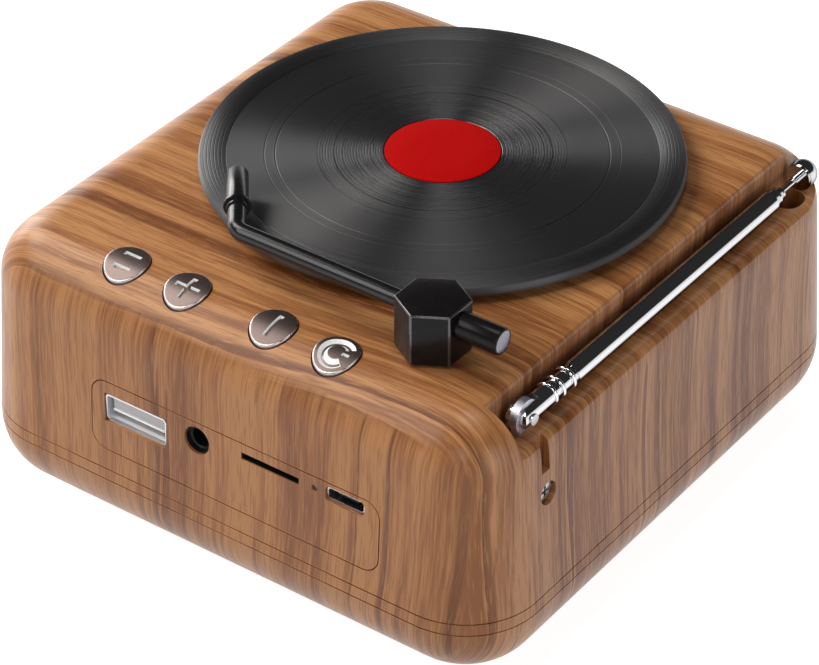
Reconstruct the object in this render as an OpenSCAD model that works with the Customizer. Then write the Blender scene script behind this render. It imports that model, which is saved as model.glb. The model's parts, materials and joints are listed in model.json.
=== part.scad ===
// Portable wireless speaker in the form of a record player: a wood-look case with a turning disc,
// a swinging tonearm, four keys, a row of side sockets and a folding telescopic aerial.
// X runs to the user's right (socket side), Y to the back (aerial side), Z up from the table.

/* [Case] */
// Width of the case, left to right
body_w = 113.2; // [108:0.2:126]
// Depth of the case, front to back
body_d = 110; // [106:0.2:122]
// Height of the case without its feet
body_h = 51.4; // [50:0.2:60]
// Corner radius seen from above
corner_r = 14.2; // [13.4:0.1:16]
// Rounding of the edge round the deck
top_edge_r = 10.4; // [9:0.1:11.2]
// Rounding of the edge round the bottom
bottom_edge_r = 12.8; // [11:0.1:13.2]
// Inward lean of the walls in degrees
wall_draft = 3.8; // [2.4:0.1:4.6]
// Thickness of the moulded walls
wall_t = 2.6; // [2.2:0.1:3]
// Height of the seam between the two shells above the case's bottom
seam_h = 15.2; // [14:0.1:17]
// Shadow gap at the seam
seam_gap = 0.2; // [0.1:0.05:0.6]
// Depth of the fine line that runs below the seam
trim_line_depth = 0.2; // [0.1:0.05:0.6]
// Distance of the fine line below the seam
trim_line_drop = 2.2; // [1.6:0.1:3]
// Height of the locating lip inside the seam
lip_h = 3; // [2:0.1:4]
// Thickness of the locating lip
lip_t = 1.4; // [1:0.1:1.8]
// How far the feet stand below the case
foot_h = 2; // [1.5:0.1:4]
// Radius of a foot
foot_r = 5; // [4:0.1:6]
// Foot centre, in from the sides
foot_in_x = 17; // [16:0.1:20]
// Foot centre, in from the front and back
foot_in_y = 24.6; // [23:0.1:27]
// Case screw, in from the sides
case_screw_in_x = 35; // [34.4:0.1:37]
// Case screw, in from the front and back
case_screw_in_y = 17; // [16.6:0.1:17.6]

/* [Turntable] */
// Disc centre, left of the middle
record_left = 8; // [6:0.1:9]
// Radius of the disc
record_r = 42; // [36:0.1:42.6]
// Thickness of the disc
record_t = 1.8; // [1.6:0.1:2.2]
// Gap from the deck to the underside of the disc
record_lift = 1.2; // [1:0.1:1.6]
// Height of the raised bead round the disc
rim_bead_h = 0.5; // [0.3:0.1:0.8]
// Radius of the label
label_r = 10; // [8:0.1:14]
// Radius of the carrier plate under the disc
platter_r = 16; // [12:0.1:30]
// Radius of the steel spindle
spindle_r = 1.5; // [1.2:0.05:1.8]
// Tooth size of the drive pair
gear_module = 0.8; // [0.7:0.05:0.85]
// Teeth on the spindle's gear
gear_teeth = 36; // [32:2:38]
// Teeth on the motor's pinion
pinion_teeth = 10; // [10:2:12]
// Radius of the flat drive motor
motor_r = 12; // [9:0.1:12.6]
// Height of the drive motor
motor_h = 12; // [8:0.1:12.6]

/* [Tonearm] */
// Pivot, in from the right side
arm_pivot_in_x = 20; // [19:0.1:21.4]
// Pivot, in from the back
arm_pivot_in_y = 25; // [24:0.1:26]
// Distance across the corners of the six-sided pivot block
block_w = 12.6; // [11:0.1:13.4]
// Height of the pivot block
block_h = 9.6; // [9:0.1:13]
// Height of the arm's axis above the deck
arm_h = 6.9; // [6.6:0.1:7.2]
// Radius of the arm
arm_r = 1.6; // [1.2:0.05:1.8]
// Length from the pivot to the point where the arm turns in
arm_len = 39.5; // [36:0.1:44]
// Turn of the head towards the disc in degrees
arm_turn = 52; // [44:1:58]
// Length of the head beyond the turn
head_len = 17; // [15:0.1:19]
// Radius of the head's barrel
head_r = 1.9; // [1.7:0.05:2.2]
// Radius of the counterweight stub
weight_r = 2.3; // [2:0.05:2.6]
// Reach of the counterweight stub behind the pivot
weight_len = 13.6; // [12:0.1:15]
// Radius of the pivot pin under the block
arm_pin_r = 2; // [1.6:0.05:2.4]

/* [Keys] */
// Radius of a key
key_r = 3.95; // [3.8:0.05:4.4]
// Distance of the keys outside the flat of the deck
key_out = 2.2; // [2:0.1:3]
// Height of a key above the case
key_proud = 0.4; // [0.2:0.1:1.4]
// Travel of a key
key_travel = 0.6; // [0.4:0.05:0.7]
// Front to back place of the first key
key_1_y = -25; // [-26:0.1:-24]
// Front to back place of the second key
key_2_y = -12.2; // [-12.6:0.1:-11]
// Front to back place of the third key
key_3_y = 5.6; // [5.4:0.1:7]
// Front to back place of the fourth key
key_4_y = 18.3; // [18:0.1:19.6]

/* [Sockets] */
// Height of the card slot above the case's bottom
socket_h = 30.4; // [29:0.1:31]
// Front to back place of the wide data socket
usb_y = -17.15; // [-18:0.05:-16]
// Front to back place of the round audio socket
audio_y = -4; // [-5:0.05:-3.6]
// Front to back place of the card slot
card_y = 11.15; // [10.6:0.05:11.4]
// Front to back place of the status light
light_y = 20.2; // [19.8:0.05:20.4]
// Front to back place of the power inlet
power_y = 26.25; // [25.8:0.05:26.8]
// Radius of the audio socket's bore
audio_bore_r = 1.8; // [1.7:0.05:1.9]
// Height of the socket panel
panel_h = 13.4; // [12.4:0.1:14.6]
// Seam round the socket panel
panel_gap = 0.2; // [0.1:0.05:0.4]

/* [Aerial] */
// Axis of the folded aerial, in from the back
aerial_in_y = 6.6; // [6.4:0.1:7]
// Axis of the folded aerial below the deck
aerial_drop = 4.2; // [3.8:0.1:4.6]
// Hinge of the aerial, in from the right side
aerial_pivot_in_x = 18.6; // [18:0.1:19.4]
// Radius of the outer tube
aerial_r = 2; // [1.9:0.05:2.1]
// Distance from the hinge to the end of the outer tube
aerial_tube_len = 75.8; // [70:0.1:79]
// Distance from the hinge to the end of the folded aerial
aerial_len = 88.4; // [88:0.1:92]
// Radius of the end cap
aerial_cap_r = 2.6; // [2.3:0.05:2.7]

/* [Inside] */
// Radius of the speaker's frame
speaker_r = 26; // [24:0.1:27]
// Radius of the speaker's magnet
magnet_r = 16; // [13:0.1:18]
// Speaker centre, right of the middle
speaker_right = 10; // [8:0.1:12]
// Radius of the round battery cell
battery_r = 9.1; // [7:0.1:9.3]
// Length of the battery cell
battery_len = 65; // [50:0.5:66]
// Thickness of the circuit boards
board_t = 1.6; // [1:0.1:1.8]

/* [Clearances] */
// Running clearance of shafts and sliding tubes
run_gap = 0.05; // [0.02:0.01:0.08]
// Clearance of pressed and screwed pieces
seat_gap = 0.02; // [0.01:0.01:0.04]
// Clearance between pieces that pass each other
pass_gap = 0.3; // [0.3:0.05:0.4]

/* [Hidden] */
$fn = 64;

// Levels of the case
z_base = foot_h;
z_floor = z_base + wall_t;
z_seam = z_base + seam_h;
z_deck = z_base + body_h;
z_ceiling = z_deck - wall_t;

// Section of a wall, measured outwards from the corner centres
run_x = body_w - 2 * corner_r;
run_y = body_d - 2 * corner_r;
bottom_arc_x = corner_r - bottom_edge_r;
bottom_arc_z = z_base + bottom_edge_r;
top_arc_z = z_deck - top_edge_r;
top_arc_x = bottom_arc_x
    + (bottom_edge_r - top_edge_r - (top_arc_z - bottom_arc_z) * sin(wall_draft)) / cos(wall_draft);
deck_edge_x = run_x / 2 + top_arc_x;

// Outer face of the drafted wall at height z, from the corner centres
function wall_out(z) =
    bottom_arc_x + (bottom_edge_r - (z - bottom_arc_z) * sin(wall_draft)) / cos(wall_draft);
// Outer face of the right side and of the back at height z
function side_x(z) = run_x / 2 + wall_out(z);
function back_y(z) = run_y / 2 + wall_out(z);

// Screws that hold the bottom cover
case_screw_x = body_w / 2 - case_screw_in_x;
case_screw_y = body_d / 2 - case_screw_in_y;
case_post_r = 3.9;
case_boss_r = 3.2;
case_post_top = z_seam + 4;
case_head_seat = z_base + 6;
case_shank_r = 1.2;
case_head_r = 2.4;
case_head_h = 1.6;
case_screw_len = 18;

// Turntable stack
record_x = -record_left;
record_low = z_deck + record_lift;
record_top = record_low + record_t;
platter_t = record_lift - 0.4;
label_sink = 0.25;
spindle_top = record_low + record_t - 0.8;
bush_r = spindle_r + 1.5;
bush_wall = 2.2;
bush_low = z_ceiling - 3.6;
gear_top = bush_low - pass_gap;
gear_t = 3;
gear_hub_r = spindle_r + 2.4;
gear_low = gear_top - 0.5 - gear_t;
clip_t = 0.6;
spindle_low = gear_low - clip_t - 0.4;

// Drive pair: gear on the spindle, pinion on the motor, to the left of the spindle
gear_play = 0.1;
drive_distance = gear_module * (gear_teeth + pinion_teeth) / 2 + gear_play;
motor_x = record_x - drive_distance;
bracket_t = 1.2;
bracket_top = gear_low - 1;
motor_top = bracket_top - bracket_t;
motor_low = motor_top - motor_h;
motor_shaft_r = 1;
motor_nose_r = 3.2;
pinion_low = bracket_top + 0.5;
pinion_top = gear_low + gear_t + 0.4;
bracket_post_r = 2.6;
bracket_post_reach = motor_r + 4.6;
bracket_post_angles = [90, 180, 270];

// Tonearm
arm_x = body_w / 2 - arm_pivot_in_x;
arm_y = body_d / 2 - arm_pivot_in_y;
arm_z = z_deck + arm_h;
block_low = z_deck + pass_gap;
block_top = block_low + block_h;
block_flat = block_w / 2 * cos(30);
block_bevel = 0.35;
arm_grip = 3;
arm_pin_in = 3.8;
arm_bend_r = 3.4;
arm_bend_tube_r = arm_r + 0.05;
arm_lap = 0.4;
arm_bush_r = arm_pin_r + 1.5;
arm_bush_wall = 1.6;
arm_bush_low = z_ceiling - 4;
arm_clip_t = 0.6;
arm_pin_low = arm_bush_low - pass_gap - arm_clip_t - 0.4;
weight_spigot_r = 1.6;
collar_r = head_r + 0.45;
collar_t = 0.6;
barrel_len = 9.4;

// Keys, their switches and board
key_x = deck_edge_x + key_out;
key_ys = [key_1_y, key_2_y, key_3_y, key_4_y];
key_hole_r = key_r + 0.2;
key_in = key_x - deck_edge_x;
key_skirt_z = top_arc_z + 4.4;
key_ear_w = 2.4;
key_ear_out = 0.9;
key_ear_h = 1.4;
key_ear_x = key_in + key_ear_w / 2;
key_ear_top = top_arc_z + sqrt(pow(top_edge_r - wall_t, 2) - pow(key_ear_x, 2)) - 0.35;
key_stem_r = 1.5;
switch_w = 6;
switch_h = 3.4;
switch_well_r = 1.9;
switch_well_d = 1.4;
key_board_drop = 2;
key_board_in = 4.3;
key_board_out = 3.6;
key_board_front = 6;
key_board_rear = 5.4;
key_boss_in = 1.9;
key_board_top = top_arc_z - key_board_drop;
key_stem_low = key_board_top + switch_h - switch_well_d + key_travel + 0.2;
key_board_x0 = deck_edge_x - key_board_in;
key_board_x1 = key_x + key_board_out;
key_board_y0 = key_1_y - key_board_front;
key_board_y1 = key_4_y + key_board_rear;
key_boss_x = deck_edge_x - key_boss_in;
key_boss_ys = [(key_1_y + key_2_y) / 2, (key_3_y + key_4_y) / 2];
key_boss_r = 2;

// Sockets and main board
socket_z = z_base + socket_h;
card_h = 1.9;
board_top = socket_z - card_h / 2 - 0.05;
board_low = board_top - board_t;
panel_face_x = side_x(socket_z);
panel_top = socket_z + 2.3;
panel_mid_z = panel_top - panel_h / 2;
panel_r = 3;
panel_edge = 3.1;
panel_y0 = usb_y - 6.2 - panel_edge;
panel_y1 = power_y + 3.8 + panel_edge;
usb_w = 13;
usb_h = 5.3;
usb_len = 14;
usb_z = socket_z - 2.75;
usb_set = 0.15;
metal_t = 0.3;
audio_z = socket_z - 1.1;
audio_nose_r = 2.45;
audio_body = 5.2;
audio_len = 11.4;
audio_set = 0.9;
card_w = 14;
card_len = 14;
card_slot_w = 11.6;
card_slot_h = 1.1;
power_w = 7.6;
power_h = 2.5;
power_z = board_top + power_h / 2;
power_len = 7.4;
power_r = 0.8;
power_set = 0.5;
light_r = 0.55;
socket_fit = 0.15;
board_reach = 36.3;
board_x0 = deck_edge_x - board_reach;
board_x1 = panel_face_x - wall_t - 1.3;
board_y0 = usb_y - 15.8;
board_y1 = power_y + 7.6;
board_boss_r = 2.6;
board_boss_in = 4;
board_bosses = [
    [board_x0 + board_boss_in, board_y0 + board_boss_in],
    [board_x0 + board_boss_in, board_y1 - board_boss_in],
    [board_x0 + board_reach * 0.8, board_y0 + board_boss_r],
    [board_x0 + board_reach * 0.55, board_y1 - board_boss_in]
];
chip_x = board_x0 + board_reach * 0.4;
chip_y = usb_y + 8;
chip_w = 7;
chip_h = 1;
memory_y = card_y - 2;
memory_w = 5;
memory_d = 6;
memory_h = 1.4;
capacitor_x = board_x0 + board_reach * 0.66;
capacitor_y = usb_y + 10;
capacitor_step = 4;
capacitor_r = 1.6;
capacitor_h = 4;

// Small machine screws inside
small_shank_r = 0.9;
small_head_r = 1.8;
small_head_h = 1.4;
small_screw_len = 7;

// Aerial and its channel along the back edge of the deck
aerial_y = body_d / 2 - aerial_in_y;
aerial_z = z_deck - aerial_drop;
pivot_x = body_w / 2 - aerial_pivot_in_x;
channel_y = aerial_y - aerial_cap_r - 0.4;
ledge_z = aerial_z - aerial_cap_r - 0.2;
channel_end_x = pivot_x + 6;
ledge_round = 1.6;
channel_lip_r = 1.2;
tongue_t = 1.4;
tongue_r = 2.9;
stem_w = 4.4;
stem_low = ledge_z - 13;
fork_wall_gap = 0.08;
fork_slot_end = tongue_r + pass_gap;
fork_len = 13.2;
fork_spigot = 2.4;
rivet_r = 0.8;
rivet_head_r = 1;
ring_places = [6.6, 8.8, 11.8];
ring_r = 0.35;
tube_bore_r = aerial_r - 0.35;
inner_tube_r = tube_bore_r - run_gap;
inner_bore_r = inner_tube_r - 0.35;
rod_r = inner_bore_r - run_gap;
neck_r = 0.5;
inner_tube_out = 1.7;
cap_len = 4.2;
cap_rim = 0.3;
bush_len = 1.6;
rod_bush_r = 0.8;
aerial_stack_start = fork_len + fork_spigot + 0.6;
seat_block_w = 10;
aerial_screw_z = stem_low + 2.6;
aerial_screw_recess_r = 2.1;
screw_land = 2.4;
screw_grip = 1.2;
aerial_groove_w = 2.2;
aerial_groove_depth = 1.6;
aerial_groove_x = pivot_x + 0.5;
aerial_groove_low = ledge_z - 6;
notch_r = 2.8;
notch_len = 6.4;
notch_depth = 4.4;
notch_under = 7.2;
notch_x = pivot_x - aerial_len + notch_under;

// Speaker, battery and their seats in the bottom cover
speaker_x = speaker_right;
speaker_seat = z_floor + 1.4;
speaker_flange_t = 1.2;
speaker_flange_top = speaker_seat + speaker_flange_t;
speaker_screw_len = 4.2;
speaker_back = speaker_seat + 11;
magnet_h = 6;
cone_r = speaker_r - 5;
cone_in = 3.4;
coil_r = 6.8;
roll_r = 1.3;
paper_t = 0.6;
speaker_ear_out = 2.6;
speaker_screw_r = speaker_r + speaker_ear_out;
speaker_ear_r = 3;
battery_in_x = 20.4;
battery_x = -body_w / 2 + battery_in_x;
battery_z = z_floor + 0.6 + battery_r;
cradle_t = 2;
grille_hole_r = 1.3;
grille_step = 5.6;
grille_rings = 3;

wood = "#a9754a";
metal = "#c9ccd0";
bronze = "#b08d4a";
black = "#1b1b1d";
board_green = "#1f5a3c";

// Section of one wall: r outwards from a corner centre, z up, moved in by inset
module wall_profile(inset) {
    lean = [cos(wall_draft), sin(wall_draft)];
    bottom_mid = [bottom_arc_x, bottom_arc_z];
    top_mid = [top_arc_x, top_arc_z];
    intersection() {
        union() {
            translate(bottom_mid) circle(r = bottom_edge_r - inset);
            translate(top_mid) circle(r = top_edge_r - inset);
            polygon([
                [0, z_base + inset],
                [bottom_arc_x, z_base + inset],
                bottom_mid + (bottom_edge_r - inset) * lean,
                top_mid + (top_edge_r - inset) * lean,
                [top_arc_x, z_deck - inset],
                [0, z_deck - inset]
            ]);
        }
        translate([0, z_base - body_h]) square([body_w, 3 * body_h]);
    }
}

// The whole rounded case as one solid, every face moved in by inset
module body_solid(inset) {
    for (q = [0:3])
        translate([(q == 0 || q == 3 ? 1 : -1) * run_x / 2, (q < 2 ? 1 : -1) * run_y / 2, 0])
            rotate(q * 90) rotate_extrude(angle = 90) wall_profile(inset);
    translate([-run_x / 2, 0, 0]) rotate([90, 0, 90]) linear_extrude(run_x) {
        for (s = [0, 1]) mirror([s, 0]) translate([run_y / 2, 0]) wall_profile(inset);
        translate([-run_y / 2, z_base + inset]) square([run_y, body_h - 2 * inset]);
    }
    for (s = [0, 1]) mirror([s, 0, 0])
        translate([run_x / 2, run_y / 2, 0]) rotate([90, 0, 0]) linear_extrude(run_y) wall_profile(inset);
}

// Horizontal slice of everything between two heights
module between(z0, z1) {
    translate([-body_w, -body_d, z0]) cube([2 * body_w, 2 * body_d, z1 - z0]);
}

// Box from its lowest to its highest corner
module box(low, high) {
    translate(low) cube(high - low);
}

// Rounded rectangle centred on the origin
module rounded_rect(w, h, r) {
    square([w - 2 * r, h], center = true);
    square([w, h - 2 * r], center = true);
    for (x = [-1, 1], y = [-1, 1]) translate([x * (w / 2 - r), y * (h / 2 - r)]) circle(r = r);
}

// Lays a flat shape drawn in Y and Z out along X, from x0 to x1
module along_x(x0, x1) {
    translate([x0, 0, 0]) rotate([90, 0, 90]) linear_extrude(x1 - x0) children();
}

// Round bar along X, from x0 to x1
module bar_x(r, x0, x1) {
    translate([x0, 0, 0]) rotate([0, 90, 0]) cylinder(r = r, h = x1 - x0);
}

// Round bar along Z, from z0 to z1
module bar_z(r, z0, z1) {
    translate([0, 0, z0]) cylinder(r = r, h = z1 - z0);
}

// Tube along Z
module tube_z(r_out, r_in, z0, z1) {
    difference() {
        bar_z(r_out, z0, z1);
        bar_z(r_in, z0 - 1, z1 + 1);
    }
}

// Screw driven upwards, its head's top face at z
module screw_up(z, shank_r, head_r, head_h, length) {
    difference() {
        bar_z(head_r, z - head_h, z);
        for (a = [0, 90]) rotate(a)
            box([-head_r * 0.6, -0.3, z - head_h - 1], [head_r * 0.6, 0.3, z - head_h * 0.5]);
    }
    bar_z(shank_r, z - head_h * 0.4, z + length);
}

// The four case screws
module at_case_screws() {
    for (x = [-1, 1], y = [-1, 1]) translate([x * case_screw_x, y * case_screw_y, 0]) children();
}

// The posts that carry the motor bracket
module at_bracket_posts() {
    for (a = bracket_post_angles)
        translate([motor_x, 0, 0]) rotate(a) translate([bracket_post_reach, 0, 0]) children();
}

// The bosses that carry the main board
module at_board_bosses() {
    for (p = board_bosses) translate([p.x, p.y, 0]) children();
}

// The bosses that carry the key board
module at_key_bosses() {
    for (y = key_boss_ys) translate([key_boss_x, y, 0]) children();
}

// Section of the channel for the folded aerial, with its rounded upper and lower edges
module channel_profile() {
    ledge_edge_y = back_y(ledge_z - ledge_round);
    translate([channel_y, ledge_z]) square([body_d, body_h]);
    difference() {
        translate([ledge_edge_y - ledge_round, ledge_z - ledge_round]) square([body_d, body_h]);
        translate([ledge_edge_y - ledge_round, ledge_z - ledge_round]) circle(r = ledge_round);
    }
    difference() {
        translate([channel_y - channel_lip_r, z_deck - channel_lip_r]) square([body_d, body_h]);
        translate([channel_y - channel_lip_r, z_deck - channel_lip_r]) circle(r = channel_lip_r);
    }
}

// Finger notch in the ledge under the aerial's tip, grown by more
module finger_notch(more) {
    reach = notch_len / 2 - notch_r;
    low = ledge_z - notch_depth - more;
    translate([notch_x, aerial_y, 0]) {
        for (s = [-1, 1]) translate([s * reach, 0, 0]) bar_z(notch_r + more, low, z_deck);
        box([-reach, -notch_r - more, low], [reach, notch_r + more, z_deck]);
    }
}

// Room inside both shells
module shell_cavity() {
    difference() {
        body_solid(wall_t);
        box([-body_w, channel_y - wall_t, ledge_z - wall_t], [channel_end_x + wall_t, body_d, 2 * body_h]);
        finger_notch(wall_t);
    }
}

// Bosses and the aerial's seat that hang under the deck
module shell_bosses() {
    root = z_ceiling + wall_t / 2;
    at_case_screws() bar_z(case_boss_r, case_post_top + pass_gap, root);
    at_board_bosses() bar_z(board_boss_r, board_top, root);
    at_key_bosses() bar_z(key_boss_r, key_board_top, root);
    at_bracket_posts() bar_z(bracket_post_r, bracket_top, root);
    translate([record_x, 0, 0]) bar_z(bush_r + bush_wall, bush_low, root);
    translate([arm_x, arm_y, 0]) bar_z(arm_bush_r + arm_bush_wall, arm_bush_low, root);
    box([pivot_x - seat_block_w / 2, channel_y - wall_t, stem_low - 2],
        [pivot_x + seat_block_w / 2, back_y(ledge_z) - wall_t / 2, ledge_z]);
}

// Holes for screws, bushes, keys and the aerial's seat
module shell_holes() {
    at_case_screws() bar_z(case_shank_r + seat_gap, 0, case_head_seat + case_screw_len + 1);
    at_board_bosses() bar_z(small_shank_r + seat_gap, board_top - 1, board_low + small_screw_len + 1);
    at_key_bosses()
        bar_z(small_shank_r + seat_gap, key_board_top - 1, key_board_top - board_t + small_screw_len);
    at_bracket_posts() bar_z(small_shank_r + seat_gap, bracket_top - 1, bracket_top + small_screw_len);
    translate([record_x, 0, 0]) bar_z(bush_r + seat_gap, bush_low - 1, z_deck + 1);
    translate([arm_x, arm_y, 0]) bar_z(arm_bush_r + seat_gap, arm_bush_low - 1, z_deck + 1);
    for (y = key_ys) translate([key_x, y, 0]) bar_z(key_hole_r, key_skirt_z - 1, z_deck + 1);
    box([pivot_x - stem_w / 2 - seat_gap, aerial_y - tongue_t / 2 - seat_gap, stem_low - seat_gap],
        [pivot_x + stem_w / 2 + seat_gap, aerial_y + tongue_t / 2 + seat_gap, ledge_z + 1]);
    translate([pivot_x, body_d, aerial_screw_z]) rotate([90, 0, 0]) {
        cylinder(r = small_shank_r + seat_gap, h = body_d - aerial_y + tongue_t + 3);
        cylinder(r = aerial_screw_recess_r, h = body_d - aerial_y - tongue_t / 2 - screw_land);
    }
    box([aerial_groove_x - aerial_groove_w / 2, back_y(ledge_z) - aerial_groove_depth, aerial_groove_low],
        [aerial_groove_x + aerial_groove_w / 2, body_d, ledge_z + 1]);
}

// Outline of the socket panel on the right side, grown by more
module panel_block(more) {
    along_x(panel_face_x - 3 * wall_t, body_w)
        translate([(panel_y0 + panel_y1) / 2, panel_mid_z])
            rounded_rect(panel_y1 - panel_y0 + 2 * more, panel_h + 2 * more, panel_r + more);
}

module top_shell() {
    color(wood) difference() {
        union() {
            difference() {
                intersection() {
                    body_solid(0);
                    between(z_seam, 2 * body_h);
                }
                shell_cavity();
            }
            shell_bosses();
        }
        along_x(-body_w, channel_end_x) channel_profile();
        finger_notch(0);
        shell_holes();
        panel_block(panel_gap);
    }
}

// Pattern of sound holes under the speaker
module grille_holes() {
    translate([speaker_x, 0, 0]) {
        bar_z(grille_hole_r, 0, z_floor + 1);
        for (ring = [1:grille_rings], i = [0:6 * ring - 1])
            rotate(i * 60 / ring) translate([ring * grille_step, 0, 0]) bar_z(grille_hole_r, 0, z_floor + 1);
    }
}

// Ears that hold the speaker's frame
module at_speaker_screws() {
    for (a = [45:90:315])
        translate([speaker_x, 0, 0]) rotate(a) translate([speaker_screw_r, 0, 0]) children();
}

// Two saddles for the round cell
module battery_cradle() {
    for (y = [-1, 1])
        box([battery_x - battery_r, y * battery_len * 0.3 - cradle_t / 2, z_floor - wall_t / 3],
            [battery_x + battery_r, y * battery_len * 0.3 + cradle_t / 2, battery_z - battery_r * 0.4]);
}

module bottom_cover() {
    lip_out = wall_t + 0.15;
    root = z_floor - wall_t / 2;
    color(wood) difference() {
        union() {
            difference() {
                union() {
                    intersection() {
                        body_solid(0);
                        between(0, z_seam - seam_gap);
                    }
                    intersection() {
                        body_solid(lip_out);
                        between(z_seam - 2 * lip_t, z_seam + lip_h);
                    }
                }
                intersection() {
                    body_solid(wall_t);
                    between(0, z_seam - 2 * lip_t);
                }
                intersection() {
                    body_solid(lip_out + lip_t);
                    between(z_seam - 3 * lip_t, z_seam + 2 * lip_h);
                }
                difference() {
                    between(z_seam - trim_line_drop - seam_gap, z_seam - trim_line_drop);
                    body_solid(trim_line_depth);
                }
            }
            at_case_screws() bar_z(case_post_r, root, case_post_top);
            translate([speaker_x, 0, 0]) tube_z(speaker_r, speaker_r - 2.4, root, speaker_seat);
            at_speaker_screws() bar_z(speaker_ear_r, root, speaker_seat);
            battery_cradle();
        }
        at_case_screws() {
            bar_z(case_head_r + pass_gap, 0, case_head_seat);
            bar_z(case_shank_r + seat_gap, 0, case_post_top + 1);
        }
        at_speaker_screws() bar_z(small_shank_r + seat_gap, speaker_flange_top - speaker_screw_len, body_h);
        translate([battery_x, battery_len / 2, battery_z]) rotate([90, 0, 0])
            cylinder(r = battery_r + seat_gap, h = battery_len);
        at_feet() bar_z(foot_r + seat_gap, 0, z_base + wall_t * 0.4);
        grille_holes();
    }
}

// Places of the four feet
module at_feet() {
    for (x = [-1, 1], y = [-1, 1])
        translate([x * (body_w / 2 - foot_in_x), y * (body_d / 2 - foot_in_y), 0]) children();
}

module feet() {
    round_r = foot_h * 0.4;
    color("#202022") at_feet() {
        bar_z(foot_r, round_r, z_base + wall_t * 0.4);
        bar_z(foot_r - round_r, 0, 2 * round_r);
        translate([0, 0, round_r]) rotate_extrude() translate([foot_r - round_r, 0]) circle(r = round_r);
    }
}

module case_screws() {
    color(metal) at_case_screws()
        screw_up(case_head_seat, case_shank_r, case_head_r, case_head_h, case_screw_len);
}

module socket_panel() {
    color(wood) difference() {
        intersection() {
            difference() {
                body_solid(0);
                body_solid(wall_t);
            }
            panel_block(0);
        }
        along_x(0, body_w) {
            translate([usb_y, usb_z]) square([usb_w + 2 * socket_fit, usb_h + 2 * socket_fit], center = true);
            translate([audio_y, audio_z]) circle(r = audio_nose_r + socket_fit);
            translate([card_y, socket_z]) square([card_slot_w + 0.2, card_slot_h + 0.2], center = true);
            translate([light_y, socket_z + 0.2]) circle(r = light_r + 0.05);
            translate([power_y, power_z])
                rounded_rect(power_w + 2 * socket_fit, power_h + 2 * socket_fit, power_r + socket_fit);
        }
    }
}

// Half section of the disc: flat field, raised rim bead, band rings and the label's recess
module record_profile() {
    edge_r = record_t / 2;
    bead_w = 1.6;
    bead_x = record_r - edge_r - bead_w / 2;
    band_radii = record_r * [0.514, 0.667, 0.724, 0.876];
    difference() {
        union() {
            translate([0, record_low]) square([record_r - edge_r, record_t]);
            translate([record_r - edge_r, record_low + edge_r]) circle(r = edge_r);
            translate([bead_x - bead_w / 2, record_low]) square([bead_w, record_t + rim_bead_h - bead_w / 4]);
            translate([bead_x, record_top + rim_bead_h - bead_w / 2]) circle(r = bead_w / 2);
        }
        translate([0, record_top - label_sink]) square([label_r + 0.1, 1]);
        square([spindle_r + seat_gap, spindle_top + 0.1]);
        for (r = band_radii) translate([r, record_top]) rotate(45) square(0.4, center = true);
    }
}

module record() {
    color(black) translate([record_x, 0, 0]) rotate_extrude() record_profile();
}

module record_label() {
    color("#b31515") translate([record_x, 0, 0]) bar_z(label_r, record_top - label_sink, record_top + 0.1);
}

module platter() {
    color("#3a3a3c") translate([record_x, 0, 0])
        tube_z(platter_r, spindle_r + seat_gap, record_low - platter_t, record_low);
}

module spindle() {
    color(metal) translate([record_x, 0, 0]) bar_z(spindle_r, spindle_low, spindle_top);
}

module spindle_bush() {
    color(bronze) translate([record_x, 0, 0]) tube_z(bush_r, spindle_r + run_gap, bush_low, z_deck);
}

module spindle_clip() {
    color(metal) translate([record_x, 0, 0])
        tube_z(spindle_r + 1.5, spindle_r + seat_gap, gear_low - clip_t, gear_low);
}

// Involute of an angle in degrees
function involute(a) = tan(a) * 180 / PI - a;
// Half of a tooth's angle at radius r, for a gear of n teeth with its flanks thinned by play
function tooth_half(n, r, play) =
    90 / n - play / (gear_module * n / 2) * 180 / PI
    + involute(20) - involute(acos(min(1, gear_module * n / 2 * cos(20) / r)));
// Points of one tooth at angle a
function tooth(n, a, play) =
    let (
        pitch = gear_module * n / 2,
        root = pitch - 1.1 * gear_module,
        radii = [max(root + 0.1, pitch * cos(20)), pitch, pitch + 0.75 * gear_module],
        halves = [for (r = radii) tooth_half(n, r, play)]
    )
    [
        root * [cos(a - halves[0]), sin(a - halves[0])],
        for (i = [0:2]) radii[i] * [cos(a - halves[i]), sin(a - halves[i])],
        for (i = [2:-1:0]) radii[i] * [cos(a + halves[i]), sin(a + halves[i])],
        root * [cos(a + halves[0]), sin(a + halves[0])]
    ];

// Flat outline of a spur gear with its first tooth at angle first
module gear_outline(n, first) {
    polygon([for (i = [0:n - 1]) each tooth(n, first + i * 360 / n, gear_play)]);
}

module drive_gear() {
    color("#e9e6dc") translate([record_x, 0, 0]) difference() {
        union() {
            translate([0, 0, gear_low]) linear_extrude(gear_t) gear_outline(gear_teeth, 180);
            bar_z(gear_hub_r, gear_low, gear_top);
        }
        bar_z(spindle_r + seat_gap, gear_low - 1, gear_top + 1);
        for (a = [0:60:300])
            rotate(a) translate([gear_module * gear_teeth * 0.3, 0, 0]) bar_z(2.2, gear_low - 1, gear_top);
    }
}

module motor() {
    color("#8d9196") translate([motor_x, 0, 0]) difference() {
        union() {
            bar_z(motor_r, motor_low + 1, motor_top);
            bar_z(motor_r - 1, motor_low, motor_low + 2);
            bar_z(motor_nose_r, motor_top - 1, bracket_top);
        }
        bar_z(motor_shaft_r + run_gap, motor_low + 2, bracket_top + 1);
    }
}

module motor_shaft() {
    color(metal) translate([motor_x, 0, 0]) bar_z(motor_shaft_r, motor_low + 2.3, pinion_top);
}

module motor_pinion() {
    color(bronze) translate([motor_x, 0, 0]) difference() {
        translate([0, 0, pinion_low]) linear_extrude(pinion_top - pinion_low)
            gear_outline(pinion_teeth, 180 / pinion_teeth);
        bar_z(motor_shaft_r + seat_gap, pinion_low - 1, pinion_top + 1);
    }
}

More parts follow.
